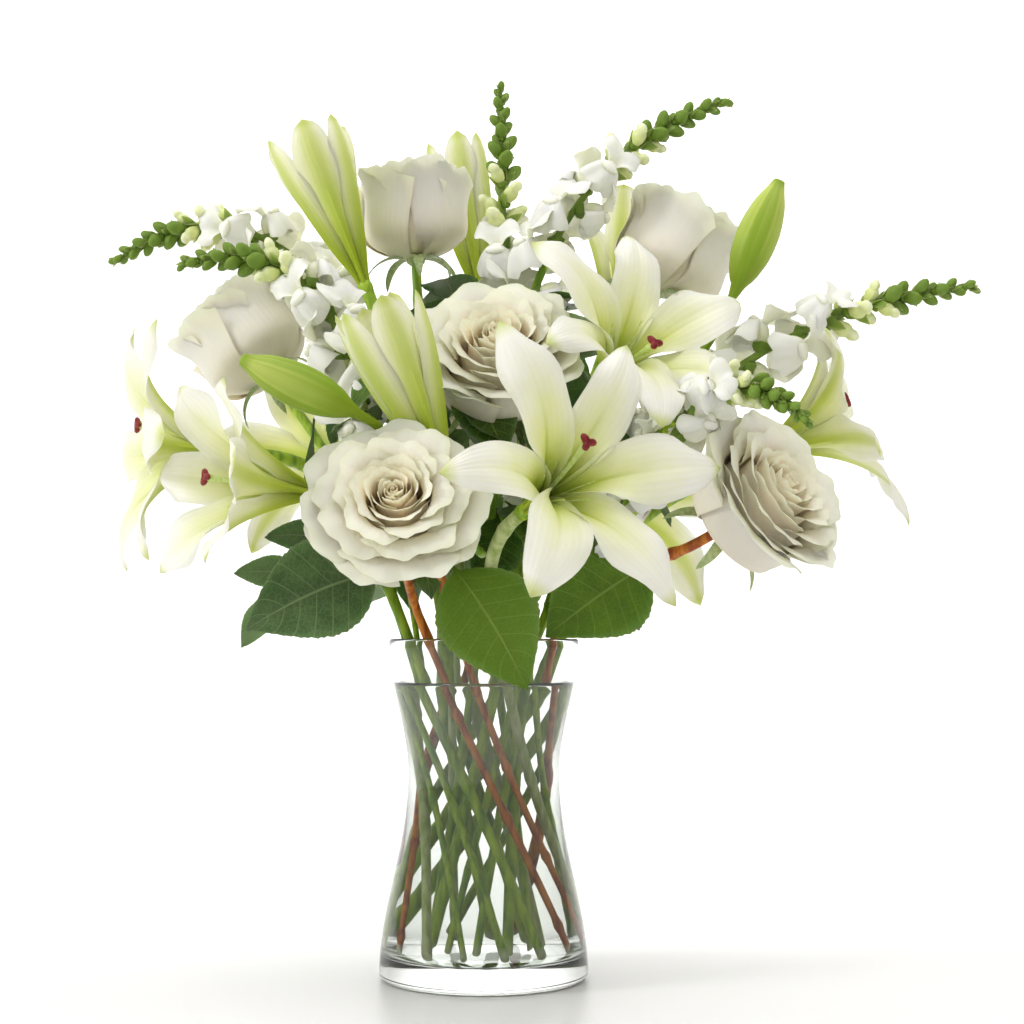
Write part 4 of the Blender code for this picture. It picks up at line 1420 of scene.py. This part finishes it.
@dataclass
class Snapdragon:
    """A spike of florets a golden angle apart: open below and on the stem, then closing, then green buds."""

    node: str
    size: float = 1.0
    length: float = 150 * MM
    stalk: float = 2.4 * MM
    largest: float = 34 * MM
    smallest: float = 7.0 * MM
    open_florets: int = 5
    closing_florets: int = 6
    buds: int = 16
    open_until: float = 0.36
    closing_until: float = 0.60
    stem_florets: int = 4
    stem_reach: float = 62 * MM
    stem_lean: float = 1.5

    def floret_plan(self) -> list[tuple[float, float, float]]:
        """Share of the way along the spike, size and opening of each floret, in order to the tip."""
        plan = []
        for share in np.linspace(0.02, self.open_until, self.open_florets):
            plan.append((share, self.largest * (1 - 0.35 * share), 1.0 - 0.8 * share))
        for share in np.linspace(self.open_until + 0.04, self.closing_until, self.closing_florets):
            plan.append((share, self.largest * (0.95 - 0.70 * share), 0.20))
        for share in np.linspace(self.closing_until + 0.015, 0.985, self.buds):
            left = (1 - share) / (1 - self.closing_until)
            plan.append((share, self.smallest + 9.5 * MM * left**0.8, 0.0))
        return [(float(share), float(long), float(opened)) for share, long, opened in plan]

    def build(self) -> None:
        """Makes the stalk and the florets along a curve that leaves the seat along the stem and bends."""
        solid, rod = Packed.read(self.node), Packed.read(self.node + "_stem")
        middles, _ = rod.centreline(rod.nearest(solid.points.mean(0)), ROD_SIDES)
        seat = middles[0]
        axis = unit(3 * middles[0] - 4 * middles[1] + middles[2])
        tip = solid.points[np.linalg.norm(solid.points - seat, axis=1).argmax()]
        controls = np.array([seat + axis * 0.8 * MM, seat + axis * self.length * self.size / 2, tip])
        line = bezier(controls, np.linspace(0, 1, 30))
        parts = [tube(line, np.linspace(self.stalk, 0.4 * self.stalk, 30), 8).toned(0.9)]
        draws = seeded(self.node)
        turn = draws.uniform(0, 6)
        for share, long, opened in self.floret_plan():
            here, ahead = bezier(controls, np.array([share, share + 0.012]))
            turn += GOLDEN_ANGLE
            outward_seat = Seat.facing(here, unit(ahead - here)).turned(turn)
            lean = 1.25 if opened > 0.3 else 1.05 - 0.65 * share**2
            heading = unit(outward_seat.side * lean + outward_seat.axis)
            outward = Seat.facing(here, heading, outward_seat.axis)
            parts.append(Floret(long * self.size, opened, draws).shell().moved(outward))
        below = through(middles[:6], 40)
        steps = lengths(below)
        for distance in np.linspace(10 * MM, self.stem_reach, self.stem_florets):
            index = min(int(np.searchsorted(steps, distance)), len(below) - 2)
            turn += GOLDEN_ANGLE
            stem_seat = Seat.facing(below[index], unit(below[index] - below[index + 1])).turned(turn)
            heading = unit(stem_seat.side * self.stem_lean + stem_seat.axis)
            outward = Seat.facing(below[index], heading, stem_seat.axis)
            parts.append(Floret(self.largest * self.size, 1.0, draws).shell().moved(outward))
        piece(self.node + "_florets", merged(parts), Finishes.floret, [self.node])


# ---- Leaves --------------------------------------------------------------------------------------
@dataclass
class Leaf:
    """An ovate, saw-edged leaf between two points."""

    base: Array
    tip: Array
    upper: Array
    width: float
    arch: float = 0.06
    fold: float = 0.16
    stalk: float = 0.14
    teeth: int = 22
    tooth: float = 0.05
    rows: int = 56
    columns: int = 9
    thickness: float = 0.55 * MM
    tone: float = 0.5

    def shell(self, draws: np.random.Generator) -> Shell:
        """The leaf.

        Its midrib arches over the straight line from base to tip by a share 4 t (1 - t) of its length. Its
        half width is that of an egg, sine of pi t^0.75, with saw teeth on the rim, and each half lifts away
        from the midrib in proportion to the way across.
        """
        long = float(np.linalg.norm(self.tip - self.base))
        along, across = parameters(self.rows, self.columns)
        upper = unit(self.upper - (self.tip - self.base) * ((self.tip - self.base) @ self.upper) / long**2)
        side = np.cross(upper, unit(self.tip - self.base))
        share = np.clip((along - self.stalk) / (1 - self.stalk), 0, 1)
        half = self.width / 2 * np.sin(math.pi * share**0.75) ** 0.9
        saw = (along * self.teeth) % 1.0
        toothed = half * (1 - self.tooth * saw * (np.abs(across) > 0.99))
        half = np.maximum(toothed, 1.2 * MM * (1 - 0.6 * share))
        wave = np.sin(along * draws.uniform(7, 10) + draws.uniform(0, 6) + np.sign(across))
        lift = self.arch * long * 4 * along * (1 - along) + self.fold * np.abs(across) * half
        lift = lift + wave * 0.035 * self.width * np.abs(across) ** 1.5 * (half > 2 * MM)
        drift = 0.03 * long * np.sin(math.pi * along) * draws.uniform(-1, 1)
        points = (
            self.base
            + (self.tip - self.base) * along[..., None]
            + side * (across * half + drift)[..., None]
            + upper * lift[..., None]
        )
        wall = self.thickness * (1 + 1.6 * np.exp(-((across / 0.18) ** 2))) * np.ones_like(along)
        shell = blade(points, wall).toned(self.tone)
        shell.along = np.clip((shell.along - self.stalk) / (1 - self.stalk), 0, 1)
        return shell

    @staticmethod
    def over(node: str, near: Array, width: float, tone: float) -> "Leaf":
        """Leaf in place of a packed one: from the point nearest to its stem, to the one farthest from that.

        Args:
            node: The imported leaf.
            near: Points of the stem that it grows from.
            width: Its width.
            tone: Its lightness.

        Returns:
            The leaf.
        """
        points = Packed.read(node).points
        base = Packed.read(node).nearest(near)
        tip = points[np.linalg.norm(points - base, axis=1).argmax()]
        _, _, spread = np.linalg.svd(points - points.mean(0))
        upper = spread[2] * (1.0 if spread[2] @ (points.mean(0) - (base + tip) / 2) >= 0 else -1.0)
        return Leaf(base, tip, upper, width, tone=tone)


@dataclass
class Foliage:
    """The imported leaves, the compound spray, and the leaves that fill the inside of the bunch."""

    leaf_width: float = 59 * MM
    leaflet_width: float = 23 * MM
    leaflet_length: float = 42 * MM
    inner_leaves: int = 66
    inner_middle: float = 268 * MM
    inner_radius: float = 72 * MM
    inner_length: float = 66 * MM
    leaflets: int = 5
    leaflet_turn: float = 62.0
    lowest: float = -22.0
    highest: float = 84.0
    tones: Mapping[str, float] = field(default_factory=lambda: {
        "leaf_front_left": 0.25,
        "leaf_front_centre": 0.95,
        "leaf_front_right": 0.65,
        "leaf_dark_centre": 0.0,
        "leaf_rear_left": 0.4,
        "leaf_rear_right": 0.6,
    })

    def single_leaves(self) -> None:
        """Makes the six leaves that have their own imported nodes."""
        stems = np.concatenate([
            Packed.read(node).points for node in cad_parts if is_rod(node)
        ])
        for node, tone in self.tones.items():
            low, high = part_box(node)
            near = stems[np.all(np.abs(stems - (np.array(low) + np.array(high)) / 2) < 70 * MM, axis=1)]
            leaf = Leaf.over(node, near, self.leaf_width * (0.9 if "dark" in node else 1.0), tone)
            finish = Finishes.grey_leaf if node == "leaf_front_left" else Finishes.leaf
            piece(node + "_veined", leaf.shell(seeded(node)), finish, [node])

    def spray(self) -> None:
        """Makes the compound leaf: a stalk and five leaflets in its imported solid's place."""
        points = Packed.read("rose_leaf_spray").points
        stem = Packed.read("lily_left_stem").points
        base = Packed.read("rose_leaf_spray").nearest(stem)
        axis = unit(points.mean(0) - base)
        _, _, spread = np.linalg.svd(points - points.mean(0))
        upper = spread[2] if spread[2] @ (np.array([0.0, -1.0, 0.6])) > 0 else -spread[2]
        side = unit(np.cross(upper, axis))
        draws = seeded("rose_leaf_spray")
        step = 0.70 * self.leaflet_length
        shells = []
        for k in range(self.leaflets):
            last = k == self.leaflets - 1
            turn = 0.0 if last else math.radians(self.leaflet_turn) * (1 if k % 2 else -1)
            root = base + axis * step * (2.0 if last else k // 2 + 0.5)
            heading = axis * math.cos(turn) + side * math.sin(turn)
            leaflet = Leaf(
                root, root + heading * self.leaflet_length, upper, self.leaflet_width, 0.05, stalk=0.08,
                teeth=15, rows=36, columns=7, tone=0.3 + 0.1 * k,
            )
            shells.append(leaflet.shell(draws))
        stalk = base + axis * np.linspace(0, 2.05 * step, 12)[:, None]
        shells.append(tube(stalk, np.full(12, 1.1 * MM), 8).toned(0.4))
        piece("rose_leaf_spray_veined", merged(shells), Finishes.grey_leaf, ["rose_leaf_spray"])

    def heart_leaves(self) -> None:
        """Makes the leaves inside the bunch: a golden angle apart over a dome, their upper sides out."""
        draws = seeded("heart")
        shells = []
        for k in range(self.inner_leaves):
            rise = math.radians(self.lowest + (self.highest - self.lowest) * (k + 0.5) / self.inner_leaves)
            bearing = k * GOLDEN_ANGLE
            level = math.cos(rise)
            outward = np.array([math.cos(bearing) * level, math.sin(bearing) * level, math.sin(rise)])
            down = unit(-UP + outward * (outward @ UP) + draws.normal(0, 0.45, 3))
            heading = unit(0.55 * outward + down)
            long = self.inner_length * draws.uniform(0.8, 1.15)
            bulge = self.inner_radius * (1 + 0.75 * max(0.0, outward[2])) * draws.uniform(0.75, 1.15)
            middle = UP * self.inner_middle + outward * bulge
            base = middle - heading * long * 0.45
            leaf = Leaf(
                base, base + heading * long, outward, long * draws.uniform(0.52, 0.68), 0.08,
                rows=34, columns=7, tone=draws.uniform(0.0, 0.55),
            )
            shells.append(leaf.shell(draws))
        piece("inner_leaves", merged(shells), Finishes.leaf)

    def build(self) -> None:
        """Makes all the foliage."""
        self.single_leaves()
        self.spray()
        self.heart_leaves()


# ---- Studio --------------------------------------------------------------------------------------
@dataclass(frozen=True)
class Lamp:
    """A square area light: its name, place, the point it is aimed at, its side and its power in watts."""

    name: str
    place: Colour
    aim: Colour
    size: float
    power: float

    def build(self) -> None:
        """Adds the light."""
        light = bpy.data.lights.new(self.name, "AREA")
        light.shape, light.size, light.energy = "SQUARE", self.size, self.power
        lamp = bpy.data.objects.new(self.name, light)
        lamp.location = self.place
        lamp.rotation_euler = (Vector(self.place) - Vector(self.aim)).to_track_quat("Z", "Y").to_euler()
        bpy.context.scene.collection.objects.link(lamp)


@dataclass
class Studio:
    """White sweep, soft light from the left and the camera."""

    camera_place: tuple = (0.0168, -1.140, 0.2016)
    camera_rise: float = math.atan(124 / 1900)
    lens: float = 66.8
    sensor: float = 36.0
    half_width: float = 3.0
    front: float = -2.2
    bend: float = 1.2
    bend_radius: float = 0.9
    back_height: float = 2.6
    below: float = 0.4 * MM
    sky: Colour = (1.0, 0.985, 0.945)
    sky_strength: float = 0.86
    sky_fall: float = 0.04
    lamps: tuple = (
        Lamp("key_from_left", (-2.7, -1.0, 1.60), (0.0, 0.0, 0.25), 0.8, 37.0),
        Lamp("top_softbox", (0.2, -0.3, 1.9), (0.0, 0.0, 0.3), 1.4, 10.0),
        Lamp("backdrop_wash", (0.0, 0.9, 1.6), (0.0, 2.1, 0.7), 1.6, 32.0),
    )

    def sweep(self) -> None:
        """Makes the floor and backdrop: a flat, a quarter circle and a wall, carried across the width."""
        angle = np.linspace(-math.pi / 2, 0, 24)
        line = np.concatenate([
            [[self.front, -self.below]],
            np.stack([
                self.bend + self.bend_radius * np.cos(angle),
                self.bend_radius - self.below + self.bend_radius * np.sin(angle),
            ], axis=1),
            [[self.bend + self.bend_radius, self.back_height]],
        ])
        across = np.linspace(-self.half_width, self.half_width, 5)
        grid = np.zeros((len(line), len(across), 3))
        grid[..., 0] = across
        grid[..., 1:] = line[:, None]
        index = np.arange(grid[..., 0].size).reshape(grid.shape[:2])
        corners = [index[:-1, :-1], index[:-1, 1:], index[1:, 1:], index[1:, :-1]]
        faces = np.stack(corners, axis=-1).reshape(-1, 4)
        mesh = bpy.data.meshes.new("studio_sweep")
        mesh.from_pydata(grid.reshape(-1, 3).tolist(), [], faces.tolist())
        mesh.polygons.foreach_set("use_smooth", np.ones(len(faces), bool))
        mesh.materials.append(Finishes.studio.material())
        sweep = bpy.data.objects.new("studio_sweep", mesh)
        bpy.context.scene.collection.objects.link(sweep)

    def surround(self) -> None:
        """Sets a warm white world, a little brighter straight in front, and keeps it out of reflections."""
        world = bpy.data.worlds.new("studio_world")
        desk = Desk(world)
        place = desk.add("ShaderNodeTexCoord", {}, {})
        parts = desk.add("ShaderNodeSeparateXYZ", {}, {0: Wave(desk, place.outputs["Generated"])})
        away = desk.step(Wave(desk, parts.outputs["Y"]), -0.98, -0.30)
        strength = self.sky_strength - self.sky_fall * away
        light = desk.add("ShaderNodeBackground", {}, {"Color": self.sky, "Strength": strength})
        desk.add("ShaderNodeOutputWorld", {}, {0: Wave(desk, light.outputs[0])})
        bpy.context.scene.world = world
        world.cycles_visibility.glossy = False

    def build(self) -> None:
        """Makes the sweep, the lights, the world and the camera."""
        self.sweep()
        for lamp in self.lamps:
            lamp.build()
        self.surround()
        lens = bpy.data.cameras.new("camera")
        lens.lens, lens.sensor_width = self.lens, self.sensor
        camera = bpy.data.objects.new("camera", lens)
        camera.location = self.camera_place
        camera.rotation_euler = (math.pi / 2 + self.camera_rise, 0.0, 0.0)
        bpy.context.scene.collection.objects.link(camera)
        bpy.context.scene.camera = camera
        bpy.context.scene.view_settings.view_transform = "Standard"


def stems() -> list[Stem]:
    """A stem for each packed rod, brown on the woody ones and pale on some of the soft ones."""
    brown = {"rose_front_stem", "greens_branch_front", "greens_branch_rear", "rose_right_stem"}
    pale = {"lily_front_stem", "snapdragon_left_stem", "lily_rear_left_stem", "half_open_lily_top_stem"}
    rods = [node for node in sorted(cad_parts) if is_rod(node)]
    made = []
    for node in rods:
        finish = Finishes.bark if node in brown else Finishes.pale_stem if node in pale else Finishes.stem
        made.append(Stem(node, finish, swell=0.30 if node in brown else 0.14))
    return made


def bouquet() -> list[Any]:
    """Every sub-assembly of the bouquet, in the order that it is built."""
    lilies = [
        Lily("lily_front"),
        Lily("lily_upper_right", openness=0.92, turn=12),
        Lily("lily_left"),
        Lily("lily_low_left", openness=0.65),
        Lily("lily_right", openness=0.9, turn=30),
        Lily("lily_back_right", openness=0.5),
        Lily("lily_rear_left"),
        Lily("lily_rear_right"),
    ]
    half_open = [
        Lily(node, openness, base_sector=0.80, ruffle=1.2 * MM, finish=Finishes.half_open)
        for node, openness in (
            ("half_open_lily_left", 0.16), ("half_open_lily_top", 0.05), ("half_open_lily_centre", 0.14)
        )
    ]
    roses = [Rose("rose_front", 0.88, 1.0)] + [
        Rose("rose_" + place, flare=flare, radius=radius * MM, height=height * MM)
        for place, flare, radius, height in (
            ("centre", 0.70, 38, 58), ("right", 0.70, 39, 57), ("upper_left", 0.06, 35, 63),
            ("left", 0.12, 38, 62), ("upper_right", 0.18, 38, 60), ("rear", 0.8, 41, 56),
        )
    ]
    spikes = [
        Snapdragon("snapdragon_" + place, size, stem_florets=florets, stem_reach=reach * MM)
        for place, size, florets, reach in (
            ("upper_left", 1.0, 4, 62), ("left", 1.0, 5, 70), ("top", 1.0, 8, 110),
            ("upper_right", 1.0, 6, 90), ("right", 1.0, 4, 62), ("front_right", 0.85, 5, 62),
        )
    ]
    buds = [LilyBud("lily_bud_left"), LilyBud("lily_bud_right")]
    return [Vase(), *stems(), *lilies, *half_open, *buds, *roses, *spikes, Foliage(), Studio()]


def main() -> None:
    """Builds the bouquet and its studio."""
    logging.basicConfig(level=logging.INFO, format="%(name)s: %(message)s")
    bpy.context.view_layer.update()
    for assembly in bouquet():
        assembly.build()


if __name__ == "__main__":
    main()
